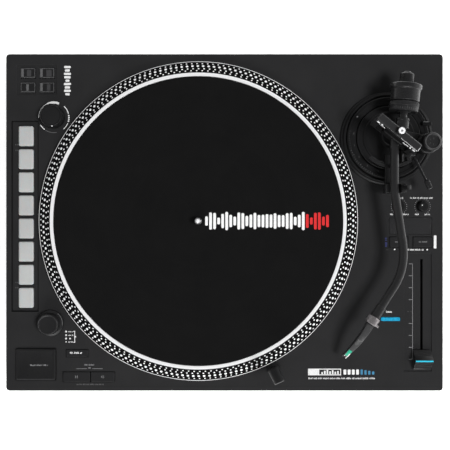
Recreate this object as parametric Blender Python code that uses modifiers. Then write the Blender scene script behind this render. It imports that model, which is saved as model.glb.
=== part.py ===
"""DJ turntable: a direct-drive record player with performance pads, a pitch fader and an S-shaped tonearm.

Lengths below are millimetres. The origin is the bottom centre, +X is the player's right, +Y its back, +Z up.
"""

import math

import bmesh
import bpy
from mathutils import Matrix, Vector

MM = 0.001

# Case
CASE_WIDTH = 458.0
CASE_DEPTH = 353.0
DECK_TOP = 88.5
DECK_PLATE = 12.0
WALL = 6.0
SEAM_Z = 58.0
SEAM_GAP = 0.3
TRAY_BOTTOM = 26.0
TRAY_FLOOR = 4.0
GAP = 0.35

# Feet
FOOT_X = 184.0
FOOT_Y = 134.0
FOOT_HEIGHT = 25.6
FOOT_RADIUS = 25.0
FOOT_STEM_TOP = 37.0

# Platter
PLATTER_X = -27.2
PLATTER_Y = 1.4
PLATTER_RADIUS = 166.0
WELL_RADIUS = 158.0
WELL_DEPTH = 8.0
MAT_RADIUS = 150.0
MAT_THICKNESS = 1.6
SPINDLE_RADIUS = 3.6
COIL_COUNT = 9

# Left-hand controls
PAD_COUNT = 8
PAD_X = -207.85
PAD_WIDTH = 15.3
PAD_LENGTH = 20.8
PAD_PITCH = 24.2
FIRST_PAD_Y = 90.4
MODE_COLUMNS = (-205.65, -185.8)
MODE_ROWS = (156.15, 141.1)
MODE_SIZE = (15.3, 10.4)
UPPER_KNOB = (-178.8, 109.9)
LOWER_KNOB = (-181.8, -105.2)
KNOB_STEM = 3.0
START_LOW = (-218.5, -164.9)
START_HIGH = (-176.4, -132.0)
REVERSE_LOW = (-166.0, -140.9)
REVERSE_HIGH = (-142.6, -132.9)
SPEED_LOW = (-169.4, -167.0)
SPEED_SPLIT = -140.4
SPEED_HIGH = (-114.8, -156.2)

# Right-hand controls
TORQUE_KNOB = (182.7, 16.6)
BRAKE_KNOB = (207.3, 16.6)
DISPLAY_LOW = (172.2, -12.7)
DISPLAY_HIGH = (217.4, 5.2)
RANGE_LOW = ((172.3, -26.4), (197.1, -26.4))
RANGE_HIGH = ((192.4, -14.9), (217.2, -14.9))
RESET_LOW = (163.4, -103.6)
RESET_HIGH = (184.0, -99.0)
PITCH_LOW = (188.1, -156.2)
PITCH_HIGH = (217.0, -32.6)
FADER_X = 206.5
FADER_REST_Y = -143.4
FADER_TRAVEL = 100.4
SLOT_WIDTH = 2.6
LAMP = (51.8, -152.5)

# Tonearm
PIVOT_X = 169.5
PIVOT_Y = 87.5
ARM_AXIS = 36.0
TILT_ANGLE = -39.0
HEAD_ANGLE = -122.5
REAR_ANGLE = 84.0
REAR_OFFSET = 6.5
TUBE_RADIUS = 4.25
TUBE_BENDS = (
    (50.4, -90.0, -90.0),
    (9.8, -90.0, -81.2),
    (46.2, -81.2, -81.2),
    (13.7, -81.2, -90.0),
    (34.3, -90.0, HEAD_ANGLE),
    (37.3, HEAD_ANGLE, HEAD_ANGLE),
)
SOCKET_RADIUS = 5.0
SOCKET_LENGTH = 12.0
COLLAR_AHEAD = 2.2
COLLAR_LENGTH = 8.2
CARTRIDGE_WIDTH = 8.0
CARTRIDGE_TAPER = 0.0085
PILLAR_TOP = 24.6
ANTI_SKATE = (206.9, 80.4)
LIFT_LOW = (180.0, 60.8)
LIFT_HIGH = (189.6, 73.6)
LIFT_POST = (185.6, 64.4)
LIFT_RADIUS = 31.0
LEVER_Y = 70.0
LEVER_Z = 17.5
REST_X = 169.5
REST_Y = 34.0
CLIP_HINGE = (7.8, 3.2)
CLIP_OPEN_ANGLE = 105.0

# Connector bay in the back wall of the tray
BAY_HALF = 76.0
BAY_WALL_Y = 164.0
BAY_WALL = 6.0
BAY_Z = 44.5
INLET_X = 55.0
SWITCH_X = 27.0
USB_X = 6.0
LINE_X = -14.0
RCA_X = (-36.0, -50.0)
GROUND_X = -68.0

# Circuit boards: centre and half size, and the height they lie at
MAIN_BOARD = (-125.0, 85.0)
MAIN_HALF = (70.0, 42.0)
POWER_BOARD = (75.0, 95.0)
POWER_HALF = (55.0, 38.0)
BOARD_Z = 42.0


def clear_scene():
    for obj in list(bpy.data.objects):
        bpy.data.objects.remove(obj, do_unlink=True)


def add_collection(name):
    collection = bpy.data.collections.new(name)
    bpy.context.scene.collection.children.link(collection)
    return collection


clear_scene()
PARTS = add_collection("turntable")
TOOLS = add_collection("cutters")


def make_material(name, colour, roughness, metallic=0.0):
    material = bpy.data.materials.new(name)
    material.use_nodes = True
    shader = material.node_tree.nodes["Principled BSDF"]
    shader.inputs["Base Color"].default_value = (*colour, 1.0)
    shader.inputs["Roughness"].default_value = roughness
    shader.inputs["Metallic"].default_value = metallic
    return material


BLACK_PAINT = make_material("black_paint", (0.028, 0.028, 0.030), 0.55)
BLACK_PLASTIC = make_material("black_plastic", (0.030, 0.030, 0.032), 0.50)
DARK_PLASTIC = make_material("dark_plastic", (0.016, 0.016, 0.018), 0.45)
GREY_SILICONE = make_material("grey_silicone", (0.55, 0.56, 0.55), 0.60)
BLACK_RUBBER = make_material("black_rubber", (0.018, 0.018, 0.018), 0.80)
BLACK_FELT = make_material("black_felt", (0.008, 0.008, 0.008), 0.95)
BARE_ALUMINIUM = make_material("bare_aluminium", (0.75, 0.75, 0.76), 0.25, 1.0)
BLACK_METAL = make_material("black_metal", (0.035, 0.035, 0.037), 0.35, 0.6)
STEEL = make_material("steel", (0.60, 0.60, 0.60), 0.30, 1.0)
MAGNET = make_material("magnet", (0.06, 0.06, 0.065), 0.60)
BOARD = make_material("board", (0.02, 0.10, 0.04), 0.50)
SMOKED_GLASS = make_material("smoked_glass", (0.015, 0.016, 0.018), 0.10)
BLUE_LIGHT = make_material("blue_light", (0.05, 0.45, 0.85), 0.40)
GREY_PLASTIC = make_material("grey_plastic", (0.20, 0.20, 0.21), 0.45)


def add_box(mesh, low, high):
    """A box between two corners."""
    low = Vector(low) * MM
    high = Vector(high) * MM
    scale = Matrix.Diagonal((*(high - low), 1.0))
    matrix = Matrix.Translation((low + high) / 2) @ scale
    bmesh.ops.create_cube(mesh, size=1.0, matrix=matrix)


def add_rod(mesh, start, end, radius, segments=20, end_radius=None):
    """A cylinder, or a cone, from one point to another."""
    start = Vector(start) * MM
    end = Vector(end) * MM
    along = end - start
    turn = along.to_track_quat("Z", "Y").to_matrix().to_4x4()
    bmesh.ops.create_cone(
        mesh,
        cap_ends=True,
        segments=segments,
        radius1=radius * MM,
        radius2=(radius if end_radius is None else end_radius) * MM,
        depth=along.length,
        matrix=Matrix.Translation((start + end) / 2) @ turn,
    )


def add_prism(mesh, outline, place, thickness):
    """A flat outline drawn in the XY plane of place, made thick along its Z, half on each side."""
    half = thickness * MM / 2
    verts = [mesh.verts.new(place @ Vector((x * MM, y * MM, -half))) for x, y in outline]
    face = mesh.faces.new(verts)
    grown = bmesh.ops.extrude_face_region(mesh, geom=[face])["geom"]
    moved = [item for item in grown if isinstance(item, bmesh.types.BMVert)]
    bmesh.ops.translate(mesh, verts=moved, vec=place.to_3x3() @ Vector((0, 0, 2 * half)))
    bmesh.ops.recalc_face_normals(mesh, faces=mesh.faces[:])


def bevel_edges(mesh, picked, radius, segments):
    bmesh.ops.bevel(
        mesh,
        geom=[edge for edge in mesh.edges if picked(edge)],
        offset=radius * MM,
        segments=segments,
        profile=0.5,
        affect="EDGES",
    )


def is_upright(edge):
    along = edge.verts[1].co - edge.verts[0].co
    return abs(along.z) > 0.999 * along.length


def at_height(height):
    return lambda edge: all(abs(vert.co.z - height * MM) < 1e-6 for vert in edge.verts)


def add_block(mesh, low, high, corner=0.0, corner_segments=2, top=0.0, top_segments=1):
    """A box with rounded upright corners and a bevelled top."""
    add_box(mesh, low, high)
    if corner:
        bevel_edges(mesh, is_upright, corner, corner_segments)
    if top:
        bevel_edges(mesh, at_height(high[2]), top, top_segments)


def make_object(name, mesh, material, origin=(0, 0, 0), smooth=False, collection=None):
    """Stores a mesh drawn in the player's frame as an object whose origin is the given point."""
    origin = Vector(origin) * MM
    bmesh.ops.translate(mesh, verts=mesh.verts[:], vec=-origin)
    data = bpy.data.meshes.new(name)
    mesh.to_mesh(data)
    mesh.free()
    if smooth:
        data.shade_smooth()
    else:
        data.shade_flat()
    obj = bpy.data.objects.new(name, data)
    obj.location = origin
    data.materials.append(material)
    (collection or PARTS).objects.link(obj)
    return obj


def make_turned(name, profile, steps, material, origin, direction=(0, 0, 1), collection=None):
    """Turns a closed (radius, height) outline about the axis through origin along direction."""
    pairs = zip(profile, profile[1:] + profile[:1])
    area = sum(r1 * z2 - r2 * z1 for (r1, z1), (r2, z2) in pairs)
    if area > 0:
        profile = profile[::-1]
    mesh = bmesh.new()
    verts = [mesh.verts.new((radius * MM, 0, height * MM)) for radius, height in profile]
    for one, two in zip(verts, verts[1:] + verts[:1]):
        if one.co.x > 0 or two.co.x > 0:
            mesh.edges.new((one, two))
    data = bpy.data.meshes.new(name)
    mesh.to_mesh(data)
    mesh.free()
    obj = bpy.data.objects.new(name, data)
    obj.location = Vector(origin) * MM
    obj.rotation_euler = Vector(direction).to_track_quat("Z", "Y").to_euler()
    screw = obj.modifiers.new("turn", "SCREW")
    screw.axis = "Z"
    screw.steps = steps
    screw.render_steps = steps
    screw.use_merge_vertices = True
    screw.merge_threshold = 0.00001
    screw.use_smooth_shade = True
    data.materials.append(material)
    (collection or PARTS).objects.link(obj)
    return obj


def make_tool(name, mesh):
    """A hidden mesh that a Boolean takes away or adds."""
    tool = make_object(name, mesh, BLACK_PLASTIC, collection=TOOLS)
    tool.hide_render = True
    tool.display_type = "WIRE"
    return tool


def boolean(obj, tool, operation):
    modifier = obj.modifiers.new(f"{operation.lower()}_{tool.name}", "BOOLEAN")
    modifier.operation = operation
    modifier.solver = "EXACT"
    modifier.object = tool


def cut(obj, tool):
    boolean(obj, tool, "DIFFERENCE")


def join(obj, tool):
    boolean(obj, tool, "UNION")


def deck(height):
    """A height above the deck's top face."""
    return DECK_TOP + height


def point_at(angle, distance, height=0.0, centre=(PIVOT_X, PIVOT_Y)):
    """A point in the player's frame, at an angle and distance from a centre."""
    turn = math.radians(angle)
    return (
        centre[0] + distance * math.cos(turn),
        centre[1] + distance * math.sin(turn),
        height,
    )


def heading(angle):
    return Vector((math.cos(math.radians(angle)), math.sin(math.radians(angle)), 0.0))


# Case -------------------------------------------------------------------------------------------


def button_pockets(mesh):
    """Pockets that hold the pads and buttons, open to the top."""
    top = deck(5)
    for index in range(PAD_COUNT):
        y = FIRST_PAD_Y - index * PAD_PITCH
        half = (PAD_WIDTH / 2 + GAP, PAD_LENGTH / 2 + GAP)
        add_box(mesh, (PAD_X - half[0], y - half[1], deck(-5)), (PAD_X + half[0], y + half[1], top))
    for x in MODE_COLUMNS:
        for y in MODE_ROWS:
            half = (MODE_SIZE[0] / 2 + GAP, MODE_SIZE[1] / 2 + GAP)
            add_box(mesh, (x - half[0], y - half[1], deck(-4.5)), (x + half[0], y + half[1], top))
    wells = [
        (START_LOW, START_HIGH, -5.0),
        (REVERSE_LOW, REVERSE_HIGH, -4.0),
        (SPEED_LOW, SPEED_HIGH, -4.2),
        (RANGE_LOW[0], RANGE_HIGH[0], -4.0),
        (RANGE_LOW[1], RANGE_HIGH[1], -4.0),
        (RESET_LOW, RESET_HIGH, -4.0),
    ]
    for low, high, floor in wells:
        add_box(mesh, (*low, deck(floor)), (*high, top))


def round_holes(mesh):
    """Holes for the knobs, the lamp, the fader stem, the arm and the bearing."""
    top = deck(5)
    for centre in (UPPER_KNOB, LOWER_KNOB):
        add_rod(mesh, (*centre, deck(-8)), (*centre, top), KNOB_STEM + 0.4, 16)
    for centre in (TORQUE_KNOB, BRAKE_KNOB):
        add_rod(mesh, (*centre, deck(-8)), (*centre, top), 2.4, 16)
    add_rod(mesh, (*LAMP, deck(-10)), (*LAMP, top), 5.4, 20)
    add_rod(mesh, (PIVOT_X, PIVOT_Y, deck(-20)), (PIVOT_X, PIVOT_Y, top), 31.6, 40)
    add_rod(mesh, (PLATTER_X, PLATTER_Y, deck(-20)), (PLATTER_X, PLATTER_Y, top), 12.4, 24)
    slot_low = FADER_REST_Y - 4.5
    slot_high = FADER_REST_Y + FADER_TRAVEL + 4.5
    half = SLOT_WIDTH / 2
    add_box(mesh, (FADER_X - half, slot_low, deck(-20)), (FADER_X + half, slot_high, top))


def build_plinth():
    mesh = bmesh.new()
    low = (-CASE_WIDTH / 2, -CASE_DEPTH / 2, SEAM_Z + SEAM_GAP)
    high = (CASE_WIDTH / 2, CASE_DEPTH / 2, DECK_TOP)
    add_block(mesh, low, high, corner=3.5, corner_segments=3, top=1.2, top_segments=2)
    plinth = make_object("deck_plinth", mesh, BLACK_PAINT)

    cavity = bmesh.new()
    inner = (CASE_WIDTH / 2 - WALL, CASE_DEPTH / 2 - WALL)
    add_box(cavity, (-inner[0], -inner[1], SEAM_Z - 5), (*inner, DECK_TOP - DECK_PLATE))
    cut(plinth, make_tool("plinth_cavity", cavity))

    recess = bmesh.new()
    top = deck(6)
    add_box(recess, (-217.8, 133.1, deck(-0.8)), (-175.7, 165.1, top))
    add_box(recess, (-223.3, -93.7, deck(-1.5)), (-194.7, 106.6, top))
    add_box(recess, (*PITCH_LOW, deck(-1.0)), (*PITCH_HIGH, top))
    add_box(recess, (*DISPLAY_LOW, deck(-2.5)), (*DISPLAY_HIGH, top))
    add_rod(recess, (PLATTER_X, PLATTER_Y, deck(-WELL_DEPTH)), (PLATTER_X, PLATTER_Y, top), WELL_RADIUS, 64)
    cut(plinth, make_tool("plinth_recesses", recess))

    pockets = bmesh.new()
    button_pockets(pockets)
    cut(plinth, make_tool("plinth_pockets", pockets))

    holes = bmesh.new()
    round_holes(holes)
    cut(plinth, make_tool("plinth_holes", holes))
    return plinth


def build_tray():
    mesh = bmesh.new()
    low = (-CASE_WIDTH / 2, -CASE_DEPTH / 2, TRAY_BOTTOM)
    high = (CASE_WIDTH / 2, CASE_DEPTH / 2, SEAM_Z)
    add_box(mesh, low, high)
    bevel_edges(mesh, is_upright, 3.5, 3)
    bevel_edges(mesh, at_height(TRAY_BOTTOM), 1.5, 1)
    tray = make_object("bottom_tray", mesh, BLACK_RUBBER)

    cavity = bmesh.new()
    inner = (CASE_WIDTH / 2 - WALL, CASE_DEPTH / 2 - WALL)
    add_box(cavity, (-inner[0], -inner[1], TRAY_BOTTOM + TRAY_FLOOR), (*inner, SEAM_Z + 5))
    cut(tray, make_tool("tray_cavity", cavity))

    inside = bmesh.new()
    floor = TRAY_BOTTOM + TRAY_FLOOR - 1.5
    for x in (-FOOT_X, FOOT_X):
        for y in (-FOOT_Y, FOOT_Y):
            add_rod(inside, (x, y, floor), (x, y, 42), 10, 20)
    for centre, half in ((MAIN_BOARD, MAIN_HALF), (POWER_BOARD, POWER_HALF)):
        for side_x in (-1, 1):
            for side_y in (-1, 1):
                x = centre[0] + side_x * (half[0] - 6)
                y = centre[1] + side_y * (half[1] - 6)
                add_rod(inside, (x, y, floor), (x, y, BOARD_Z - GAP), 3.5, 10)
    block_front = BAY_WALL_Y - BAY_WALL
    add_box(inside, (-BAY_HALF - 5, block_front, floor), (BAY_HALF + 5, CASE_DEPTH / 2 - 4, SEAM_Z - 0.6))
    join(tray, make_tool("tray_bosses", inside))

    bay = bmesh.new()
    add_box(bay, (-BAY_HALF, BAY_WALL_Y, 31), (BAY_HALF, 190, 70))
    for x in (-FOOT_X, FOOT_X):
        for y in (-FOOT_Y, FOOT_Y):
            add_rod(bay, (x, y, 15), (x, y, FOOT_STEM_TOP + 1.5), 5.4, 20)
    cut(tray, make_tool("tray_bay", bay))

    holes = bmesh.new()
    front = block_front - 6
    back = BAY_WALL_Y + 3
    for x, half_x, half_z in (
        (INLET_X, 14.1, 10.5),
        (SWITCH_X, 6.6, 10.6),
        (USB_X, 6.4, 5.9),
        (LINE_X, 4.6, 1.9),
    ):
        add_box(holes, (x - half_x, front, BAY_Z - half_z), (x + half_x, back, BAY_Z + half_z))
    for x in RCA_X:
        add_rod(holes, (x, front, BAY_Z), (x, back, BAY_Z), 4.5, 20)
    add_rod(holes, (GROUND_X, front, BAY_Z), (GROUND_X, back, BAY_Z), 2.4, 14)
    cut(tray, make_tool("tray_holes", holes))
    return tray


def build_feet():
    """Levelling feet: a rubber pad under a grip ring, with a screwed stem in the tray's boss."""
    profile = [
        (0, FOOT_STEM_TOP),
        (5.0, FOOT_STEM_TOP),
        (5.0, FOOT_HEIGHT),
        (20.0, FOOT_HEIGHT),
        (22.5, FOOT_HEIGHT - 2.5),
        (22.5, 8.0),
        (FOOT_RADIUS, 5.5),
        (FOOT_RADIUS, 1.0),
        (FOOT_RADIUS - 1.0, 0.0),
        (0, 0),
    ]
    feet = []
    for side_y, row in ((-1, "front"), (1, "rear")):
        for side_x, column in ((-1, "left"), (1, "right")):
            origin = (side_x * FOOT_X, side_y * FOOT_Y, 0)
            feet.append(make_turned(f"foot_{row}_{column}", profile, 16, BLACK_RUBBER, origin))
    return feet


# Drive ------------------------------------------------------------------------------------------


def build_platter():
    centre = (PLATTER_X, PLATTER_Y, 0)
    profile = [
        (3.95, deck(8.7)),
        (MAT_RADIUS + 0.4, deck(8.7)),
        (MAT_RADIUS + 0.4, deck(10.0)),
        (153.8, deck(10.0)),
        (165.2, deck(5.3)),
        (PLATTER_RADIUS, deck(5.3)),
        (PLATTER_RADIUS, deck(1.5)),
        (157.0, deck(1.5)),
        (155.5, deck(-4.5)),
        (150.0, deck(-4.5)),
        (148.0, deck(5.2)),
        (20.0, deck(5.2)),
        (20.0, deck(-0.5)),
        (3.95, deck(-0.5)),
    ]
    platter = make_turned("platter", profile, 72, BARE_ALUMINIUM, centre)
    mat = make_turned(
        "slipmat",
        [
            (3.95, deck(9.0)),
            (MAT_RADIUS, deck(9.0)),
            (MAT_RADIUS, deck(9.0 + MAT_THICKNESS)),
            (3.95, deck(9.0 + MAT_THICKNESS)),
        ],
        60,
        BLACK_FELT,
        centre,
    )
    spindle = make_turned(
        "spindle",
        [
            (0, deck(24.5)),
            (1.8, deck(24.2)),
            (3.1, deck(22.8)),
            (SPINDLE_RADIUS, deck(20.5)),
            (SPINDLE_RADIUS, deck(-1.0)),
            (9.0, deck(-1.0)),
            (9.0, deck(-3.0)),
            (SPINDLE_RADIUS, deck(-3.0)),
            (SPINDLE_RADIUS, deck(-35.0)),
            (0, deck(-36.5)),
        ],
        20,
        STEEL,
        centre,
    )
    rotor = make_turned(
        "rotor_magnet",
        [(40.0, deck(4.85)), (60.0, deck(4.85)), (60.0, deck(0.2)), (40.0, deck(0.2))],
        40,
        MAGNET,
        centre,
    )
    return platter, mat, spindle, rotor


def build_motor():
    """The fixed half of the motor: a round board with its ring of flat coils, over the bearing housing."""
    centre = (PLATTER_X, PLATTER_Y, 0)
    floor = deck(-WELL_DEPTH)
    stator = make_turned(
        "motor_stator",
        [(14.5, floor + 0.3), (64.0, floor + 0.3), (64.0, floor + 2.0), (14.5, floor + 2.0)],
        36,
        BOARD,
        centre,
    )
    coils = bmesh.new()
    for index in range(COIL_COUNT):
        angle = 360.0 * index / COIL_COUNT
        x, y, _ = point_at(angle, 50.0, centre=(PLATTER_X, PLATTER_Y))
        add_rod(coils, (x, y, floor + 1.2), (x, y, floor + 6.6), 12.0, 8)
    join(stator, make_tool("stator_coils", coils))
    bearing = make_turned(
        "spindle_bearing",
        [
            (SPINDLE_RADIUS + 0.35, deck(-4.0)),
            (11.5, deck(-4.0)),
            (11.5, deck(-DECK_PLATE - 0.35)),
            (24.0, deck(-DECK_PLATE - 0.35)),
            (24.0, deck(-16.5)),
            (11.5, deck(-16.5)),
            (11.5, deck(-41.0)),
            (0, deck(-41.0)),
            (0, deck(-37.0)),
            (SPINDLE_RADIUS + 0.35, deck(-37.0)),
        ],
        24,
        STEEL,
        centre,
    )
    return stator, bearing


def build_boards():
    boards = []
    plans = (
        (
            "main_board",
            MAIN_BOARD,
            MAIN_HALF,
            ((-30, 10, 28, 28, 2.4), (15, 10, 18, 18, 2.0), (40, -20, 24, 12, 5.0), (-30, -25, 30, 8, 7.0)),
        ),
        (
            "power_supply_board",
            POWER_BOARD,
            POWER_HALF,
            ((-22, 0, 40, 36, 24.0), (14, 12, 14, 20, 15.0), (36, -8, 12, 32, 12.0)),
        ),
    )
    for name, centre, half, blocks in plans:
        mesh = bmesh.new()
        low = (centre[0] - half[0], centre[1] - half[1], BOARD_Z)
        high = (centre[0] + half[0], centre[1] + half[1], BOARD_Z + 1.6)
        add_box(mesh, low, high)
        board = make_object(name, mesh, BOARD)
        chips = bmesh.new()
        for x, y, size_x, size_y, height in blocks:
            x += centre[0]
            y += centre[1]
            add_box(
                chips,
                (x - size_x / 2, y - size_y / 2, BOARD_Z + 1.0),
                (x + size_x / 2, y + size_y / 2, BOARD_Z + 1.6 + height),
            )
        join(board, make_tool(f"{name}_chips", chips))
        boards.append(board)
    return boards


# Connector bay ----------------------------------------------------------------------------------


def build_inlet():
    mesh = bmesh.new()
    add_box(mesh, (INLET_X - 13.7, 148, BAY_Z - 10.1), (INLET_X + 13.7, 166, BAY_Z + 10.1))
    inlet = make_object("mains_inlet", mesh, DARK_PLASTIC)
    hollow = bmesh.new()
    add_box(hollow, (INLET_X - 11.3, 151, BAY_Z - 7.8), (INLET_X + 11.3, 170, BAY_Z + 7.8))
    cut(inlet, make_tool("inlet_hollow", hollow))
    pins = bmesh.new()
    for x, z in ((-7.0, -1.8), (0.0, 2.2), (7.0, -1.8)):
        x += INLET_X
        z += BAY_Z
        add_box(pins, (x - 1.0, 150, z - 2.0), (x + 1.0, 159.5, z + 2.0))
    join(inlet, make_tool("inlet_pins", pins))
    return inlet


def build_usb():
    mesh = bmesh.new()
    add_box(mesh, (USB_X - 6, 150, BAY_Z - 5.5), (USB_X + 6, 165, BAY_Z + 5.5))
    socket = make_object("usb_socket", mesh, STEEL)
    hollow = bmesh.new()
    add_box(hollow, (USB_X - 4.3, 153, BAY_Z - 4.0), (USB_X + 4.3, 170, BAY_Z + 4.0))
    cut(socket, make_tool("usb_hollow", hollow))
    tongue = bmesh.new()
    add_box(tongue, (USB_X - 2.8, 152, BAY_Z - 1.6), (USB_X + 2.8, 162, BAY_Z + 1.6))
    join(socket, make_tool("usb_tongue", tongue))
    return socket


def build_rca():
    mesh = bmesh.new()
    back = BAY_WALL_Y - BAY_WALL - GAP
    add_box(mesh, (RCA_X[1] - 8, 150, BAY_Z - 7), (RCA_X[0] + 8, back, BAY_Z + 7))
    sockets = make_object("rca_sockets", mesh, DARK_PLASTIC)
    sleeves = bmesh.new()
    bores = bmesh.new()
    for x in RCA_X:
        add_rod(sleeves, (x, back - 3, BAY_Z), (x, 171, BAY_Z), 4.1, 20)
        add_rod(bores, (x, 162, BAY_Z), (x, 175, BAY_Z), 1.7, 10)
    join(sockets, make_tool("rca_sleeves", sleeves))
    cut(sockets, make_tool("rca_bores", bores))
    return sockets


def build_ground():
    back = BAY_WALL_Y
    return make_turned(
        "ground_terminal",
        [
            (0, back - 12),
            (2.0, back - 12),
            (2.0, back + 0.4),
            (4.8, back + 0.4),
            (4.8, back + 5.0),
            (2.0, back + 5.0),
            (2.0, back + 7.0),
            (0, back + 7.0),
        ],
        16,
        STEEL,
        (GROUND_X, 0, BAY_Z),
        direction=(0, 1, 0),
    )


def build_switches():
    """The mains rocker, set to on, and the line or phono slide switch."""
    rocker = bmesh.new()
    outline = ((-5.0, -8.8), (3.2, -9.2), (0.6, 0.0), (1.4, 9.2), (-5.0, 8.8))
    place = Matrix.Translation(Vector((SWITCH_X, BAY_WALL_Y - 1, BAY_Z)) * MM) @ Matrix(
        ((0, 0, 1, 0), (1, 0, 0, 0), (0, 1, 0, 0), (0, 0, 0, 1))
    )
    add_prism(rocker, outline, place, 12.4)
    power = make_object("power_switch", rocker, DARK_PLASTIC, (SWITCH_X, BAY_WALL_Y - 1, BAY_Z))
    slide = bmesh.new()
    x = LINE_X - 2.1
    add_box(slide, (x - 2.0, 153, BAY_Z - 1.5), (x + 2.0, BAY_WALL_Y + 2.5, BAY_Z + 1.5))
    line = make_object("line_switch", slide, DARK_PLASTIC, (x, BAY_WALL_Y, BAY_Z))
    return power, line


# Controls ---------------------------------------------------------------------------------------


def build_button(name, low, high, bottom, top, material, bevel=0.5, corner=1.0):
    """A push button inside the given pocket, with a clearance all round."""
    mesh = bmesh.new()
    add_block(
        mesh,
        (low[0] + GAP, low[1] + GAP, deck(bottom)),
        (high[0] - GAP, high[1] - GAP, deck(top)),
        corner=corner,
        corner_segments=2,
        top=bevel,
    )
    centre = ((low[0] + high[0]) / 2, (low[1] + high[1]) / 2, deck(top))
    return make_object(name, mesh, material, centre)


def build_pads():
    pads = []
    for index in range(PAD_COUNT):
        y = FIRST_PAD_Y - index * PAD_PITCH
        low = (PAD_X - PAD_WIDTH / 2 - GAP, y - PAD_LENGTH / 2 - GAP)
        high = (PAD_X + PAD_WIDTH / 2 + GAP, y + PAD_LENGTH / 2 + GAP)
        pads.append(build_button(f"pad_{index + 1}", low, high, -3.9, 0.8, GREY_SILICONE, 0.6, 1.6))
    return pads


def build_mode_buttons():
    buttons = []
    for row in range(2):
        for column in range(2):
            x = MODE_COLUMNS[column]
            y = MODE_ROWS[row]
            low = (x - MODE_SIZE[0] / 2 - GAP, y - MODE_SIZE[1] / 2 - GAP)
            high = (x + MODE_SIZE[0] / 2 + GAP, y + MODE_SIZE[1] / 2 + GAP)
            name = f"mode_button_{2 * row + column + 1}"
            buttons.append(build_button(name, low, high, -3.4, 0.6, GREY_PLASTIC, 0.4, 0.8))
    return buttons


def build_left_buttons():
    start = build_button("start_stop_button", START_LOW, START_HIGH, -3.8, 2.0, BLACK_PLASTIC, 2.0, 1.0)
    reverse = build_button("reverse_button", REVERSE_LOW, REVERSE_HIGH, -3.0, 0.8, BLACK_PLASTIC)
    speed_33 = build_button(
        "speed_button_33", SPEED_LOW, (SPEED_SPLIT, SPEED_HIGH[1]), -3.2, 0.9, BLACK_PLASTIC
    )
    speed_45 = build_button(
        "speed_button_45", (SPEED_SPLIT, SPEED_LOW[1]), SPEED_HIGH, -3.2, 0.9, BLACK_PLASTIC
    )
    return start, reverse, speed_33, speed_45


def build_right_buttons():
    buttons = [
        build_button(f"pitch_range_button_{index + 1}", low, high, -3.0, 0.7, BLACK_PLASTIC)
        for index, (low, high) in enumerate(zip(RANGE_LOW, RANGE_HIGH))
    ]
    reset = build_button("pitch_reset_button", RESET_LOW, RESET_HIGH, -3.0, 0.5, BLUE_LIGHT, 0.4, 0.6)
    buttons.append(reset)
    window = bmesh.new()
    low = (DISPLAY_LOW[0] + GAP, DISPLAY_LOW[1] + GAP, deck(-2.2))
    high = (DISPLAY_HIGH[0] - GAP, DISPLAY_HIGH[1] - GAP, deck(-0.3))
    add_box(window, low, high)
    return buttons + [make_object("display_window", window, SMOKED_GLASS)]


def build_knobs():
    """The two encoders and the two small trimmers of the motor."""
    knobs = []
    stem = deck(-6.5)
    upper = [
        (0, deck(13.6)),
        (10.2, deck(13.6)),
        (11.3, deck(12.6)),
        (12.0, deck(0.5)),
        (KNOB_STEM, deck(0.5)),
        (KNOB_STEM, stem),
        (0, stem),
    ]
    lower = [
        (0, deck(14.0)),
        (9.6, deck(14.0)),
        (10.6, deck(13.0)),
        (11.2, deck(4.0)),
        (13.6, deck(3.2)),
        (14.0, deck(0.5)),
        (KNOB_STEM, deck(0.5)),
        (KNOB_STEM, stem),
        (0, stem),
    ]
    small = [
        (0, deck(6.5)),
        (4.9, deck(6.5)),
        (5.5, deck(5.9)),
        (5.9, deck(0.5)),
        (2.0, deck(0.5)),
        (2.0, stem),
        (0, stem),
    ]
    plans = (
        ("encoder_knob_upper", upper, 24, UPPER_KNOB),
        ("encoder_knob_lower", lower, 24, LOWER_KNOB),
        ("torque_knob", small, 20, TORQUE_KNOB),
        ("brake_knob", small, 20, BRAKE_KNOB),
    )
    for name, profile, steps, centre in plans:
        knobs.append(make_turned(name, profile, steps, BLACK_PLASTIC, (*centre, 0)))
    return knobs


def build_fader():
    mesh = bmesh.new()
    outline = (
        (-10.4, 0.6),
        (10.4, 0.6),
        (10.4, 2.8),
        (3.4, 8.4),
        (1.5, 11.2),
        (-1.5, 11.2),
        (-3.4, 8.4),
        (-10.4, 2.8),
    )
    centre = Vector((FADER_X, FADER_REST_Y, DECK_TOP)) * MM
    place = Matrix.Translation(centre) @ Matrix(((0, 0, 1, 0), (1, 0, 0, 0), (0, 1, 0, 0), (0, 0, 0, 1)))
    add_prism(mesh, outline, place, 18.4)
    fader = make_object("pitch_fader", mesh, BLACK_PLASTIC, (FADER_X, FADER_REST_Y, DECK_TOP))
    stem = bmesh.new()
    add_box(
        stem,
        (FADER_X - 0.9, FADER_REST_Y - 3.5, deck(-17)),
        (FADER_X + 0.9, FADER_REST_Y + 3.5, deck(2)),
    )
    join(fader, make_tool("fader_stem", stem))
    return fader


def build_lamp():
    """The stylus lamp: a post that turns in its socket, with a lamp head leaning over the platter."""
    lamp = make_turned(
        "stylus_lamp",
        [
            (0, deck(44.0)),
            (3.0, deck(44.0)),
            (3.4, deck(40.0)),
            (3.4, deck(8.0)),
            (6.4, deck(6.0)),
            (6.4, deck(0.5)),
            (5.0, deck(0.5)),
            (5.0, deck(-8.0)),
            (0, deck(-8.0)),
        ],
        20,
        BLACK_PLASTIC,
        (*LAMP, 0),
    )
    head = bmesh.new()
    start = point_at(-65, 5.5, deck(47.5), LAMP)
    end = point_at(115, 9.0, deck(43.5), LAMP)
    add_rod(head, start, end, 5.2, 16, 6.0)
    join(lamp, make_tool("lamp_head", head))
    return lamp


# Tonearm ----------------------------------------------------------------------------------------


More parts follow.
